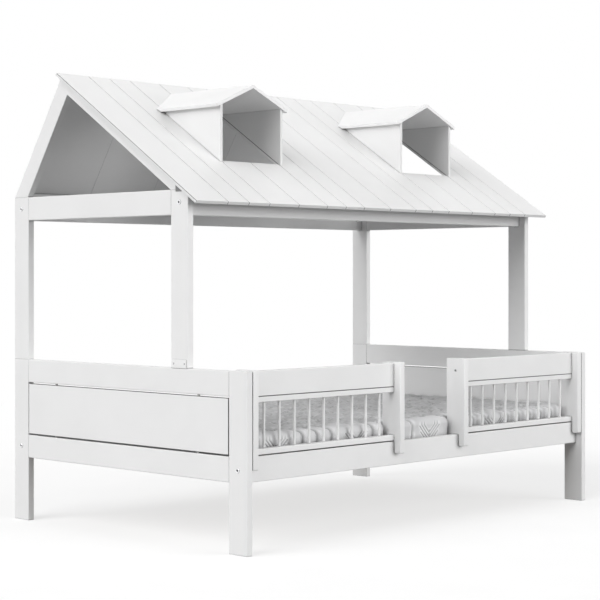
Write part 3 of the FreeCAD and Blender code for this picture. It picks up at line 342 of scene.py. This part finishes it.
def dress(node, material):
    """Gives a CAD node a material of its own."""
    thing = nodes[node]
    for slot in thing.material_slots:
        slot.link = "OBJECT"
        slot.material = material


RULES = (
    ("leg_", white_z),
    ("upper_post_front_", post_white),
    ("upper_post_back_", white_z),
    ("guard_stile_", white_z),
    ("guard_spindles_", white_z),
    ("end_top_rail_", white_y),
    ("end_lower_rail_", white_y),
    ("gable_beam_", white_y),
    ("end_panel_", panel_white),
    ("side_rail_", rail_white),
    ("guard_top_rail_", guard_white),
    ("guard_battens_", guard_white),
    ("roof_beam_", white_x),
    ("roof_batten_", white_x),
    ("slat_ledges", white_x),
    ("rafter_front_", white_front),
    ("rafter_back_", white_back),
    ("roof_panel_", shaded_roof_white),
    ("dormer_left_cheek", shaded_cheek_white),
    ("dormer_right_cheek", shaded_cheek_white),
    ("dormer_", lit_dormer_white),
    ("back_roof_boards", back_white),
    ("bed_slats", softwood),
    ("dowels", painted_dowel),
    ("frame_bolts", zinc),
    ("barrel_nuts", zinc),
    ("guard_screws_", zinc),
    ("plate_screws", zinc),
    ("post_plates", coated),
    ("mattress", cover),
)
for node in nodes:
    for prefix, material in RULES:
        if node.startswith(prefix):
            dress(node, material)
            break


# ------------------------------------------------------------ mesh helpers


def finish_mesh(name, mesh, material, smooth=True):
    thing = bpy.data.objects.new(name, mesh)
    bpy.context.scene.collection.objects.link(thing)
    mesh.materials.append(material)
    for polygon in mesh.polygons:
        polygon.use_smooth = smooth
    return thing


def settle(thing):
    """Applies the modifiers of thing to its mesh."""
    graph = bpy.context.evaluated_depsgraph_get()
    mesh = bpy.data.meshes.new_from_object(thing.evaluated_get(graph))
    thing.modifiers.clear()
    thing.data = mesh
    return thing


SIDES = 48  # of everything round


def round_at(radius):
    return lambda angle: radius


def hexagon_at(radius):
    """Radius of a hexagon with that corner radius."""
    flat = radius * math.cos(math.pi / 6)
    return lambda angle: flat / math.cos((angle % (math.pi / 3)) - math.pi / 6)


def cross_at(inner, outer):
    """Radius of a four-lobed recess for a cross-head driver."""
    return lambda angle: inner + (outer - inner) * abs(math.cos(2 * angle)) ** 6


def lathed(bm, rings, matrix, dark=()):
    """Adds a closed solid of rings, each a radius rule and a height along the local Z.

    The bands named in dark, counted from the first ring, take the second material, a darker copy
    that paints their shade.
    """
    loops = []
    for rule, height in rings:
        loop = []
        for index in range(SIDES):
            angle = 2 * math.pi * index / SIDES
            radius = rule(angle)
            spot = Vector((radius * math.cos(angle), radius * math.sin(angle), height))
            loop.append(bm.verts.new(matrix @ spot))
        loops.append(loop)
    for band, (low, high) in enumerate(zip(loops, loops[1:])):
        for index in range(SIDES):
            after = (index + 1) % SIDES
            face = bm.faces.new((low[index], low[after], high[after], high[index]))
            face.material_index = int(band in dark)
    bm.faces.new(tuple(reversed(loops[0])))
    last = bm.faces.new(tuple(loops[-1]))
    last.material_index = int(len(loops) - 1 in dark)


def facing(direction, x, y, z):
    """A frame at x, y, z whose Z points along direction, an X sign."""
    turn = Euler((0, math.radians(90) * direction, 0)).to_matrix().to_4x4()
    return Matrix.Translation((x, y, z)) @ turn


def from_bmesh(name, bm, material, smooth_angle=40, second=None):
    bmesh.ops.recalc_face_normals(bm, faces=bm.faces)
    mesh = bpy.data.meshes.new(name)
    bm.to_mesh(mesh)
    bm.free()
    thing = finish_mesh(name, mesh, material)
    if second:
        mesh.materials.append(second)
    mesh.set_sharp_from_angle(angle=math.radians(smooth_angle))
    return thing


# ------------------------------------------------------------ bolts and screws


def bolt_rings(head, height, key, reach, shank):
    """Rings of a socket-head bolt, from its shank's tip to the bottom of its hexagon socket."""
    return (
        (round_at(shank * 0.7), -reach),
        (round_at(shank), -reach + shank * 0.4),
        (round_at(shank), 0.0),
        (round_at(head), 0.0),
        (round_at(head), height * 0.45),
        (round_at(head * 0.80), height),
        (round_at(key * 1.15), height),
        (hexagon_at(key), height - 0.12 * key),
        (hexagon_at(key), height * 0.08),
    )


BOLT_SHADED = (3, 6, 7, 8)  # painted shade on the rim of the head and in the socket
SCREW_SHADED = (3, 4, 7, 8)  # painted shade on the rim of a cross-head screw and in its recess
SMOOTH_ANGLE = 35  # edges of lathed pieces up to this angle look round


def add_bolts():
    """Socket-head bolts through the ends and posts into the side rails and beams."""
    bm = bmesh.new()
    rings = bolt_rings(head=0.0085, height=0.0032, key=0.0037, reach=0.077, shank=0.003)
    spots = (
        (-RAIL_MIDDLE_Y, RAIL_BOLT_Z),
        (RAIL_MIDDLE_Y, RAIL_BOLT_Z),
        (FRONT_POST_Y, BEAM_BOLT_Z),
        (RAIL_MIDDLE_Y, BEAM_BOLT_Z),
    )
    for side in (-1, 1):
        for y, z in spots:
            lathed(bm, rings, facing(side, side * HALF_LENGTH, y, z), BOLT_SHADED)
    piece = from_bmesh("socket_head_bolts", bm, zinc, SMOOTH_ANGLE, shaded_zinc)
    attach(piece, "bed_frame")
    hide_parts("frame_bolts")


def add_guard_screws(side):
    """Sunk socket-head screws through a guard's uprights into its top rail."""
    low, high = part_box(f"guard_screws_{side}")
    head_height = 0.0035
    rings = bolt_rings(head=0.005, height=0.0033, key=0.0024, reach=0.0665, shank=0.0025)
    bm = bmesh.new()
    y = (low.y + high.y) / 2
    z = (low.z + high.z) / 2
    for x, direction in ((low.x, -1), (high.x, 1)):
        lathed(bm, rings, facing(direction, x - direction * head_height, y, z), BOLT_SHADED)
    piece = from_bmesh(f"guard_screws_{side}_detail", bm, zinc, SMOOTH_ANGLE, shaded_zinc)
    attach(piece, f"guard_{side}")
    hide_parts(f"guard_screws_{side}")


def add_plate_screws():
    """Cross-head screws with domed heads in the steel plates."""
    bm = bmesh.new()
    spread = 0.02825  # half the distance between a plate's two screws
    plate_middle = 0.6555
    plate_face = HALF_LENGTH + 0.0025
    rings = (
        (round_at(0.0004), -0.018),
        (round_at(0.0015), -0.014),
        (round_at(0.0015), 0.0),
        (round_at(0.0032), 0.0),
        (round_at(0.0031), 0.0006),
        (round_at(0.0026), 0.0012),
        (round_at(0.0021), 0.0014),
        (cross_at(0.0007, 0.0018), 0.00135),
        (cross_at(0.0005, 0.0014), 0.0004),
    )
    for side in (-1, 1):
        for y in (FRONT_POST_Y - spread, FRONT_POST_Y + spread):
            place = facing(side, side * plate_face, y, plate_middle)
            lathed(bm, rings, place, SCREW_SHADED)
    piece = from_bmesh("cross_head_screws", bm, zinc, SMOOTH_ANGLE, shaded_zinc)
    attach(piece, "bed_frame")
    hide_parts("plate_screws")


# ------------------------------------------------------------ guards


def add_spindles(side):
    """Turned spindles with smooth rounds and eased ends."""
    low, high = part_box(f"guard_spindles_{side}")
    y = (low.y + high.y) / 2
    radius = (high.y - low.y) / 2
    spacing = 0.078
    count = round((high.x - low.x - 2 * radius) / spacing) + 1
    bm = bmesh.new()
    for index in range(count):
        x = low.x + radius + index * spacing
        rings = (
            (round_at(radius * 0.8), low.z),
            (round_at(radius), low.z + 0.001),
            (round_at(radius), high.z - 0.001),
            (round_at(radius * 0.8), high.z),
        )
        lathed(bm, rings, Matrix.Translation((x, y, 0)))
    piece = from_bmesh(f"turned_spindles_{side}", bm, white_z, SMOOTH_ANGLE)
    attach(piece, f"guard_{side}")
    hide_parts(f"guard_spindles_{side}")


SCREW_Z = 0.594  # height of the guards' screws


def arc_points(centre, radius, start, end, steps=6):
    """Points of an arc in a plane, from start to end in degrees."""
    points = []
    for index in range(steps + 1):
        angle = math.radians(start + (end - start) * index / steps)
        points.append((centre[0] + radius * math.cos(angle), centre[1] + radius * math.sin(angle)))
    return points


def add_stile(node, body, screw_sign):
    """A forked upright with all its long edges rounded over and a sunk hole for its screw."""
    low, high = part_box(node)
    front, back, foot, top = low.y, high.y, low.z, high.z
    middle = (front + back) / 2
    slot = 0.0145  # half the width of the fork
    tip = 0.007  # rounding of its lower corners
    outline = []
    for start, end in ((front, middle - slot), (middle + slot, back)):
        outline += arc_points((start + tip, foot + tip), tip, 180, 270)
        outline += arc_points((end - tip, foot + tip), tip, 270, 360)
        if end < middle:
            outline += [(end, RAIL_TOP), (middle + slot, RAIL_TOP)]
    outline += [(back, top), (front, top)]
    bm = bmesh.new()
    ring = [bm.verts.new((low.x, y, z)) for y, z in outline]
    face = bm.faces.new(ring)
    grown = bmesh.ops.extrude_face_region(bm, geom=[face])
    moved = [item for item in grown["geom"] if isinstance(item, bmesh.types.BMVert)]
    bmesh.ops.translate(bm, verts=moved, vec=(high.x - low.x, 0, 0))
    bmesh.ops.recalc_face_normals(bm, faces=bm.faces)
    mesh = bpy.data.meshes.new(node + "_rounded")
    bm.to_mesh(mesh)
    bm.free()
    piece = finish_mesh(node + "_rounded", mesh, white_z)
    easing = piece.modifiers.new("easing", "BEVEL")
    easing.width = 0.003
    easing.segments = 4
    easing.limit_method = "ANGLE"
    easing.angle_limit = math.radians(40)
    settle(piece)
    bm = bmesh.new()
    x = high.x if screw_sign > 0 else low.x
    place = facing(screw_sign, x, middle, SCREW_Z)
    hole_radius, hole_depth, past_face = 0.0054, 0.0037, 0.004
    rings = ((round_at(hole_radius), -hole_depth), (round_at(hole_radius), past_face))
    lathed(bm, rings, place)
    cutter = from_bmesh(node + "_cutter", bm, white_z)
    hole = piece.modifiers.new("hole", "BOOLEAN")
    hole.object = cutter
    hole.operation = "DIFFERENCE"
    hole.solver = "EXACT"
    settle(piece)
    bpy.data.objects.remove(cutter)
    piece.data.set_sharp_from_angle(angle=math.radians(38))
    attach(piece, body)
    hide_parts(node)


# ------------------------------------------------------------ mattress

MATTRESS_CROWN = 0.006  # rise of the middle of the top
CROWN_REACH = 0.45  # width of the band over which it rises
MATTRESS_EDGE = 0.034  # rounding of the top edge
BASE_EDGE = 0.016  # rounding of the bottom edge
WAIST = 0.003  # draw-in of the sides at mid height
INSET = 0.0008  # the sides lie this far inside the CAD box
FRONT_CORNER, BACK_CORNER = 0.100, 0.060  # corner radii in plan
GRID = 0.0038  # spacing of the mesh
DENT_GAP = 0.0012  # clearance between a dent and the upright in it
DENT_HALF = 0.0155  # half the flat width of a dent
DENT_FLANK = 0.020  # length of its slope on each side
DENT_REACH = 0.22  # how far into the mattress it fades out

TILE = (0.34, 0.28)  # repeat of the top's quilting
FLAP = 0.045  # reach of the side's seams onto the top
HOOK_SPACING = 0.078  # distance between the seams down a side
HOOK_RADIUS = 0.052  # of their turn over the top edge
FERN_START = 0.174  # from a corner to the first fern of a side
FERN_SPACING = 0.435
RIB_SPACING = 0.016  # distance between a fern's ribs
SEAM_STEP = 0.002  # spacing of the points that distances are measured to


def leaf(base, angle, length, width):
    """Both edges of a leaf with a pointed tip, as lists of points."""
    along = Vector((math.cos(angle), math.sin(angle)))
    across = Vector((-along.y, along.x))
    edges = []
    for side in (-1, 1):
        edge = []
        for index in range(25):
            share = index / 24
            bulge = math.sin(math.pi * share ** 0.8) * width * side
            edge.append(base + along * (length * share) + across * bulge)
        edges.append(edge)
    return edges


def sprig():
    """Seams of one tile of the top: a bent stem with leaves, loops around it, and flowers."""
    width, height = TILE
    stem = []
    for index in range(61):
        share = index / 60
        x = width * (0.04 + 0.92 * share)
        y = height * (0.30 + 0.40 * share + 0.16 * math.sin(2 * math.pi * share))
        stem.append(Vector((x, y)))
    seams = [stem]
    for step, share in enumerate((0.14, 0.32, 0.50, 0.68, 0.86)):
        index = round(share * 60)
        run = stem[index + 1] - stem[index - 1]
        heading = math.atan2(run.y, run.x)
        length = 0.088 - 0.006 * step
        seams += leaf(stem[index], heading + 0.95, length, 0.017)
        seams += leaf(stem[index], heading - 0.95, length, 0.017)
    for centre, radius, start, end in (
        ((0.10, 0.90), 0.075, 150, 400),
        ((0.92, 0.12), 0.070, -40, 215),
        ((0.50, 1.02), 0.055, 180, 360),
    ):
        middle = (centre[0] * width, centre[1] * height)
        seams.append([Vector(point) for point in arc_points(middle, radius, start, end, 40)])
    # flowers in the plain spots between the tiles' sprigs
    heart, petal, petal_width = 0.026, 0.056, 0.013
    for centre, headings in (((0.25, 0.0), (18, 54, 90, 126, 162)), ((1.0, 1.0), (200, 225, 250))):
        middle = Vector((centre[0] * width, centre[1] * height))
        start, end = headings[0] - 18, headings[-1] + 18
        seams.append([Vector(point) for point in arc_points(middle, heart, start, end, 20)])
        for heading in headings:
            turn = math.radians(heading)
            outward = Vector((math.cos(turn), math.sin(turn)))
            seams += leaf(middle + outward * heart, turn, petal, petal_width)
    return seams


def fern(base, angle, length, width):
    """Ribs of a fern leaf: close parallel lines that slant up from both sides of its stem."""
    along = Vector((math.cos(angle), math.sin(angle)))
    across = Vector((-along.y, along.x))
    ribs = [[base, base + along * length]]
    for index in range(round(length / RIB_SPACING)):
        share = index * RIB_SPACING / length
        reach = width * (0.45 + 0.55 * math.sin(math.pi * (0.1 + 0.85 * share)))
        foot = base + along * (length * share)
        for side in (-1, 1):
            ribs.append([foot, foot + along * reach + across * (reach * side)])
    return ribs


def hook(start, drop):
    """A seam down a side, as run along the edge and drop below it, whose end turns over the top."""
    turn_end = 0.022
    centre = (start - HOOK_RADIUS, turn_end)
    curve = [Vector(point) for point in arc_points(centre, HOOK_RADIUS, 270, 360, 16)]
    for index in range(1, 25):
        share = index / 24
        curve.append(Vector((start - 0.010 * share ** 2, turn_end + (drop - turn_end) * share)))
    return curve


def side_seams(half_run, drop, place):
    """Seams and fern ribs of one side; place puts run and drop into the flat cover."""
    seams, ribs = [], []
    fern_runs = np.arange(-half_run + FERN_START, half_run - 0.1, FERN_SPACING)
    for start in np.arange(-half_run + 0.09, half_run - 0.05, HOOK_SPACING):
        if min(abs(start - 0.010 - fern_run) for fern_run in fern_runs) > 0.070:
            seams.append([place(*point) for point in hook(start, drop)])
    for fern_run in fern_runs:
        for rib in fern(Vector((fern_run, drop + 0.010)), math.radians(-90), 0.075, 0.062):
            ribs.append([place(*point) for point in rib])
    return seams, ribs


def in_tile(line, column, row):
    """A line of the pattern in one tile of the top; every second tile is mirrored."""
    width, height = TILE
    placed = []
    for point in line:
        x = width - point.x if column % 2 else point.x
        y = height - point.y if row % 2 else point.y
        placed.append(Vector((x + column * width, y + row * height)))
    return placed


def cover_seams(half_x, half_y, drop):
    """All seams and all fern ribs of the cover laid flat."""
    width, height = TILE
    seams, ribs = [], []
    pattern = sprig()
    leaf_ribs = fern(Vector((0.20 * width, 0.62 * height)), 0.5, 0.10, 0.022)
    leaf_ribs += fern(Vector((0.80 * width, 0.36 * height)), 3.6, 0.09, 0.020)
    columns, rows = math.ceil(half_x / width), math.ceil(half_y / height)
    end_x, end_y = half_x - FLAP, half_y - FLAP
    for column in range(-columns, columns):
        for row in range(-rows, rows):
            for lines, kept in ((pattern, seams), (leaf_ribs, ribs)):
                for line in lines:
                    placed = in_tile(line, column, row)
                    placed = [p for p in placed if abs(p.x) < end_x and abs(p.y) < end_y]
                    if len(placed) > 1:
                        kept.append(placed)
    sides = (
        (half_x, lambda run, down: Vector((run, -half_y - down))),
        (half_x, lambda run, down: Vector((-run, half_y + down))),
        (half_y, lambda run, down: Vector((half_x + down, run))),
        (half_y, lambda run, down: Vector((-half_x - down, -run))),
    )
    for half_run, place in sides:
        more_seams, more_ribs = side_seams(half_run, drop, place)
        seams += more_seams
        ribs += more_ribs
    return seams, ribs


def distances(spots, lines):
    """For each spot, its distance to the nearest line, and how far along that line it is."""
    points, runs = [], []
    for line in lines:
        run = 0.0
        for before, after in zip(line, line[1:]):
            length = (after - before).length
            pieces = max(1, math.ceil(length / SEAM_STEP))
            for piece in range(pieces):
                points.append(before.lerp(after, piece / pieces))
                runs.append(run + length * piece / pieces)
            run += length
    tree = KDTree(len(points))
    for index, point in enumerate(points):
        tree.insert((point.x, point.y, 0), index)
    tree.balance()
    away, along = np.empty(len(spots)), np.empty(len(spots))
    for index, (x, y) in enumerate(spots):
        _, found, distance = tree.find((x, y, 0))
        away[index] = distance
        along[index] = runs[found]
    return away, along


def spaced(low, high, step):
    count = max(2, round((high - low) / step) + 1)
    return np.linspace(low, high, count)


def block(half_x, half_y, height):
    """A straight block: a fine grid for its top, rows down its sides and one flat face below.

    Gives the points, how far the rounding of the lower edge draws each one in, the faces, and
    how many points lie on the top.
    """
    xs, ys = spaced(-half_x, half_x, GRID), spaced(-half_y, half_y, GRID)
    rim = [(x, -half_y) for x in xs] + [(half_x, y) for y in ys[1:]]
    rim += [(x, half_y) for x in xs[::-1][1:]] + [(-half_x, y) for y in ys[::-1][1:-1]]
    grid_x, grid_y = np.meshgrid(xs, ys, indexing="ij")
    number = np.arange(grid_x.size).reshape(grid_x.shape)
    corners = (number[:-1, :-1], number[1:, :-1], number[1:, 1:], number[:-1, 1:])
    faces = np.stack([corner.ravel() for corner in corners], axis=1).tolist()
    upper = list(number[:, 0]) + list(number[-1, 1:]) + list(number[::-1, -1][1:])
    upper += list(number[0, ::-1][1:-1])
    shoulder = height - MATTRESS_EDGE
    rows = [(level, 0.0) for level in spaced(BASE_EDGE, shoulder, GRID)[::-1][1:]]
    for turn in (22.5, 45, 67.5, 90):
        angle = math.radians(turn)
        rows.append((BASE_EDGE * (1 - math.sin(angle)), BASE_EDGE * (1 - math.cos(angle))))
    flat = np.full(grid_x.size, shoulder)
    columns = [np.column_stack((grid_x.ravel(), grid_y.ravel(), flat))]
    draws = [np.zeros(grid_x.size)]
    count = grid_x.size
    for level, draw in rows:
        lower = list(range(count, count + len(rim)))
        for index in range(len(rim)):
            after = (index + 1) % len(rim)
            faces.append([upper[index], lower[index], lower[after], upper[after]])
        columns.append(np.array([(x, y, level) for x, y in rim]))
        draws.append(np.full(len(rim), draw))
        upper = lower
        count += len(rim)
    faces.append(upper[::-1])
    return np.vstack(columns), np.concatenate(draws), faces, grid_x.size


def rounded_corners(x, y, half_x, half_y):
    """The outline's square corners rounded in plan, all points drawn in with them."""
    radius = np.where(y < 0, FRONT_CORNER, BACK_CORNER)
    core_x = np.clip(x, -(half_x - radius), half_x - radius)
    core_y = np.clip(y, -(half_y - radius), half_y - radius)
    out_x, out_y = x - core_x, y - core_y
    square = np.maximum(np.abs(out_x), np.abs(out_y))
    length = np.hypot(out_x, out_y)
    share = np.where(length > 1e-9, square / np.maximum(length, 1e-9), 1.0)
    return core_x + out_x * share, core_y + out_y * share


def hump(distance, width, power=2):
    """1 at no distance, falling off smoothly over about that width."""
    return np.exp(-((distance / width) ** power))


def pulled_in(away, along, rib_away, top):
    """How far the cover lies below its plain shape: creases at the seams, gathers and ribs."""
    gather = np.cos(along / 0.0035) * hump(away - 0.011, 0.008)
    pull = 0.0042 * hump(away, 0.0050, 1.6) + np.where(top, 0.0085, 0.0078) * hump(away, 0.022)
    return pull + 0.0008 * (1 - gather) + 0.0036 * hump(rib_away, 0.0024)


def painted_cover_shade(away, along, rib_away, top, depth, y, half_y, still):
    """Painted shade and highlights of the cover: 0 on its lustrous ridges, a painted highlight;
    about 0.3 plain, darker on the top as painted shade; 1 in the seams, painted shade.
    """
    crease, valley = hump(away, 0.0050, 1.6), hump(away, 0.022)
    # painted highlight along the ridges beside the seams and the ribs
    ridge = hump(away - 0.012, 0.006) * (0.6 + 0.4 * np.cos(along / 0.011))
    lustre = np.maximum(ridge, hump(rib_away - 0.0050, 0.0018))
    # the top painted darker than the sides, as painted shade
    plain = 0.27 + 0.30 * np.clip((depth - 0.02) / 0.06, 0, 1) * top
    on_side = np.clip((0.05 - depth) / 0.03, 0, 1)
    shade = plain * (1 - lustre * (0.45 + 0.55 * on_side))
    # painted shade in the creases of the seams and ribs, and in the top's valleys
    dark = np.maximum(crease * (1 - 0.20 * on_side), 0.9 * hump(rib_away, 0.0024))
    dark = np.maximum(dark, 0.62 * valley ** 2 * (1 - on_side))
    # painted shade: the rounded edges beside the boards lie in their shade, all but the front's
    beside_board = top & (y > 0.05 - half_y)
    edge_shade = np.clip(1.2 - depth / 0.016, 0, 1)
    dark = np.maximum(dark, np.where(beside_board, edge_shade, 0))
    return np.maximum(shade, dark * np.where(top, 1.0, still))


def add_mattress():
    """A quilted block: rounded edges, drawn-in sides, crowned top, leaf seams with soft puffs."""
    low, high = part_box("mattress")
    half_x = (high.x - low.x) / 2
    mid_y = (low.y + high.y) / 2
    half_y = (high.y - low.y) / 2
    height = high.z - low.z - MATTRESS_CROWN
    shoulder = height - MATTRESS_EDGE
    points, draw, faces, top_count = block(half_x, half_y, height)
    x, y, level = points.T
    top = np.arange(len(points)) < top_count

    depth = np.minimum(half_x - np.abs(x), half_y - np.abs(y))
    at_x = np.abs(x) > half_x - 1e-6
    at_y = np.abs(y) > half_y - 1e-6
    # the cover laid flat: what hangs down a side lies outside the top's outline
    drop = height - level
    flat_x = x + np.where(at_x, np.sign(x) * drop, 0.0)
    flat_y = y + np.where(at_y, np.sign(y) * drop, 0.0)

    near = np.clip(MATTRESS_EDGE - depth, 0, None)
    rounded = shoulder + np.sqrt(np.clip(MATTRESS_EDGE ** 2 - near ** 2, 0, None))
    rise = np.sin(np.clip(depth / CROWN_REACH, 0, 1) * math.pi / 2) ** 1.2
    z = np.where(top, rounded + MATTRESS_CROWN * rise, level)
    px, py = rounded_corners(x, y, half_x, half_y)

    # sides drawn in at mid height, and in below by the rounding of the lower edge
    along_side = np.clip((level - BASE_EDGE) / (shoulder - BASE_EDGE), 0, 1)
    waist = np.where(top, 0.0, WAIST * np.sin(math.pi * along_side)) + INSET
    px = px * (1 - (waist * at_x + draw) / half_x)
    py = py * (1 - (waist * at_y + draw) / half_y)

    # dents of the guards' inner uprights
    for stile in ("guard_stile_left_inner", "guard_stile_right_inner"):
        post_low, post_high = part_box(stile)
        middle = (post_low.x + post_high.x) / 2
        need = post_high.y + DENT_GAP - (mid_y - half_y)
        off = np.abs(px - middle) - DENT_HALF
        across = 0.5 + 0.5 * np.cos(np.clip(off / DENT_FLANK, 0, 1) * math.pi)
        inward = np.clip((y + half_y) / DENT_REACH, 0, 1)
        fade = (1 - inward) ** 2 * (1 + 2 * inward)
        py = py + need * across * fade

    mesh = bpy.data.meshes.new("quilted_mattress")
    placed = np.column_stack((px, py + mid_y, z + low.z))
    mesh.from_pydata(placed.tolist(), [], faces)
    mesh.update()

    # the seams pull the cover in along its normals, less towards the lower edge
    seams, ribs = cover_seams(half_x, half_y, height - BASE_EDGE)
    spots = np.column_stack((flat_x, flat_y)).tolist()
    away, along = distances(spots, seams)
    rib_away, _ = distances(spots, ribs)
    still = np.clip(along_side * 6, 0, 1) * (draw == 0)
    pull = pulled_in(away, along, rib_away, top) * np.where(top, 1.0, still)
    normals = np.empty(len(placed) * 3)
    mesh.vertices.foreach_get("normal", normals)
    placed = placed - normals.reshape(-1, 3) * pull[:, None]
    mesh.vertices.foreach_set("co", placed.ravel())
    mesh.update()
    # the cover's painted shade and highlights, stored for its material
    seam = mesh.attributes.new("seam", "FLOAT", "POINT")
    shade = painted_cover_shade(away, along, rib_away, top, depth, y, half_y, still)
    seam.data.foreach_set("value", shade)

    piece = finish_mesh("quilted_mattress", mesh, cover)
    piece.data.polygons[len(faces) - 1].use_smooth = False
    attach(piece, "mattress_body")
    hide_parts("mattress")


add_bolts()
add_plate_screws()
for side in ("left", "right"):
    add_guard_screws(side)
    add_spindles(side)
    outer_sign = -1 if side == "left" else 1
    add_stile(f"guard_stile_{side}_outer", f"guard_{side}", outer_sign)
    add_stile(f"guard_stile_{side}_inner", f"guard_{side}", -outer_sign)
add_mattress()


# ------------------------------------------------------------ camera, light and floor


def add_camera():
    """The photograph's view: level, shifted lens, from the front left."""
    data = bpy.data.cameras.new("camera")
    data.sensor_width = 36
    data.lens = 100.47
    data.shift_x = 0.0779
    data.shift_y = -0.0412
    data.clip_end = 200
    camera = bpy.data.objects.new("camera", data)
    bpy.context.scene.collection.objects.link(camera)
    camera.location = (-5.1195, -4.7597, 0.9742)
    camera.rotation_euler = (math.radians(90), 0, math.radians(44.89 - 90))
    bpy.context.scene.camera = camera


SUN_SPREAD = math.radians(50)  # wide enough for soft shadows
WHITE = (1, 1, 1, 1)


def add_soft_sun(name, azimuth, elevation, strength):
    """A wide soft light from a direction; its azimuth is counted from +X towards +Y."""
    data = bpy.data.lights.new(name, "SUN")
    data.angle = SUN_SPREAD
    data.energy = strength
    lamp = bpy.data.objects.new(name, data)
    bpy.context.scene.collection.objects.link(lamp)
    around, up = math.radians(azimuth), math.radians(elevation)
    level = math.cos(up)
    source = Vector((level * math.cos(around), level * math.sin(around), math.sin(up)))
    lamp.rotation_euler = (-source).to_track_quat("-Z", "Y").to_euler()


def add_world():
    """White where it is seen or mirrored, and a weaker light from all sides."""
    world = bpy.data.worlds.new("world")
    world.use_nodes = True
    bpy.context.scene.world = world
    tree = world.node_tree
    tree.nodes.clear()
    output = tree.nodes.new("ShaderNodeOutputWorld")
    seen = tree.nodes.new("ShaderNodeBackground")
    seen.inputs["Color"].default_value = WHITE
    seen.inputs["Strength"].default_value = 1.0
    light = tree.nodes.new("ShaderNodeBackground")
    light.inputs["Color"].default_value = WHITE
    light.inputs["Strength"].default_value = 0.30
    path = tree.nodes.new("ShaderNodeLightPath")
    either = tree.nodes.new("ShaderNodeMath")
    either.operation = "MAXIMUM"
    tree.links.new(path.outputs["Is Camera Ray"], either.inputs[0])
    tree.links.new(path.outputs["Is Glossy Ray"], either.inputs[1])
    both = tree.nodes.new("ShaderNodeMath")
    both.operation = "MAXIMUM"
    tree.links.new(either.outputs[0], both.inputs[0])
    tree.links.new(path.outputs["Is Transmission Ray"], both.inputs[1])
    mix = tree.nodes.new("ShaderNodeMixShader")
    tree.links.new(both.outputs[0], mix.inputs[0])
    tree.links.new(light.outputs[0], mix.inputs[1])
    tree.links.new(seen.outputs[0], mix.inputs[2])
    tree.links.new(mix.outputs[0], output.inputs["Surface"])


def add_floor():
    """A pale floor: the camera sees it white with a faint shadow, other rays see a soft grey."""
    graph = Graph("pale_floor")
    path = graph.node("ShaderNodeLightPath")
    plain = graph.mapped()
    dust = graph.noise(plain, 3.0, 2.0)
    ground = graph.node("ShaderNodeBsdfDiffuse")
    graph.link(graph.ramp(dust, ((0.3, (0.34,) * 3), (0.7, (0.36,) * 3))), ground.inputs["Color"])
    glow = graph.node("ShaderNodeEmission")
    glow.inputs["Color"].default_value = WHITE
    glow.inputs["Strength"].default_value = 0.69
    near = graph.node("ShaderNodeAddShader")
    graph.link(ground.outputs[0], near.inputs[0])
    graph.link(glow.outputs[0], near.inputs[1])
    far = graph.node("ShaderNodeEmission")
    far.inputs["Color"].default_value = WHITE
    length = graph.node("ShaderNodeVectorMath", operation="LENGTH")
    graph.link(plain, length.inputs[0])
    fade_start, fade_end = 2.2, 6.0
    fade = graph.spread(length.outputs["Value"], 0.0, 1.0, fade_start, fade_end)
    seen = graph.node("ShaderNodeMixShader")
    graph.link(fade, seen.inputs[0])
    graph.link(near.outputs[0], seen.inputs[1])
    graph.link(far.outputs[0], seen.inputs[2])
    plain_grey = graph.node("ShaderNodeBsdfDiffuse")
    plain_grey.inputs["Color"].default_value = (0.22, 0.22, 0.22, 1)
    glossy, through = path.outputs["Is Glossy Ray"], path.outputs["Is Transmission Ray"]
    mirrored = graph.math("MAXIMUM", glossy, through)
    mix = graph.node("ShaderNodeMixShader")
    graph.link(graph.math("MAXIMUM", path.outputs["Is Camera Ray"], mirrored), mix.inputs[0])
    graph.link(plain_grey.outputs[0], mix.inputs[1])
    graph.link(seen.outputs[0], mix.inputs[2])
    graph.link(mix.outputs[0], graph.output.inputs["Surface"])
    bm = bmesh.new()
    bmesh.ops.create_circle(bm, cap_ends=True, segments=96, radius=40)
    mesh = bpy.data.meshes.new("floor")
    bm.to_mesh(mesh)
    bm.free()
    floor = finish_mesh("floor", mesh, graph.material, smooth=False)
    floor.location = (0, 0, -0.0005)  # just below the feet, so that no faces coincide


add_camera()
add_world()
add_floor()
add_soft_sun("sun_from_the_left", 180, 35, 2.0)
add_soft_sun("low_sun_from_the_left", 155, 10, 0.75)
add_soft_sun("low_sun_from_the_front", 290, 10, 2.45)
bpy.context.scene.view_settings.view_transform = "Standard"
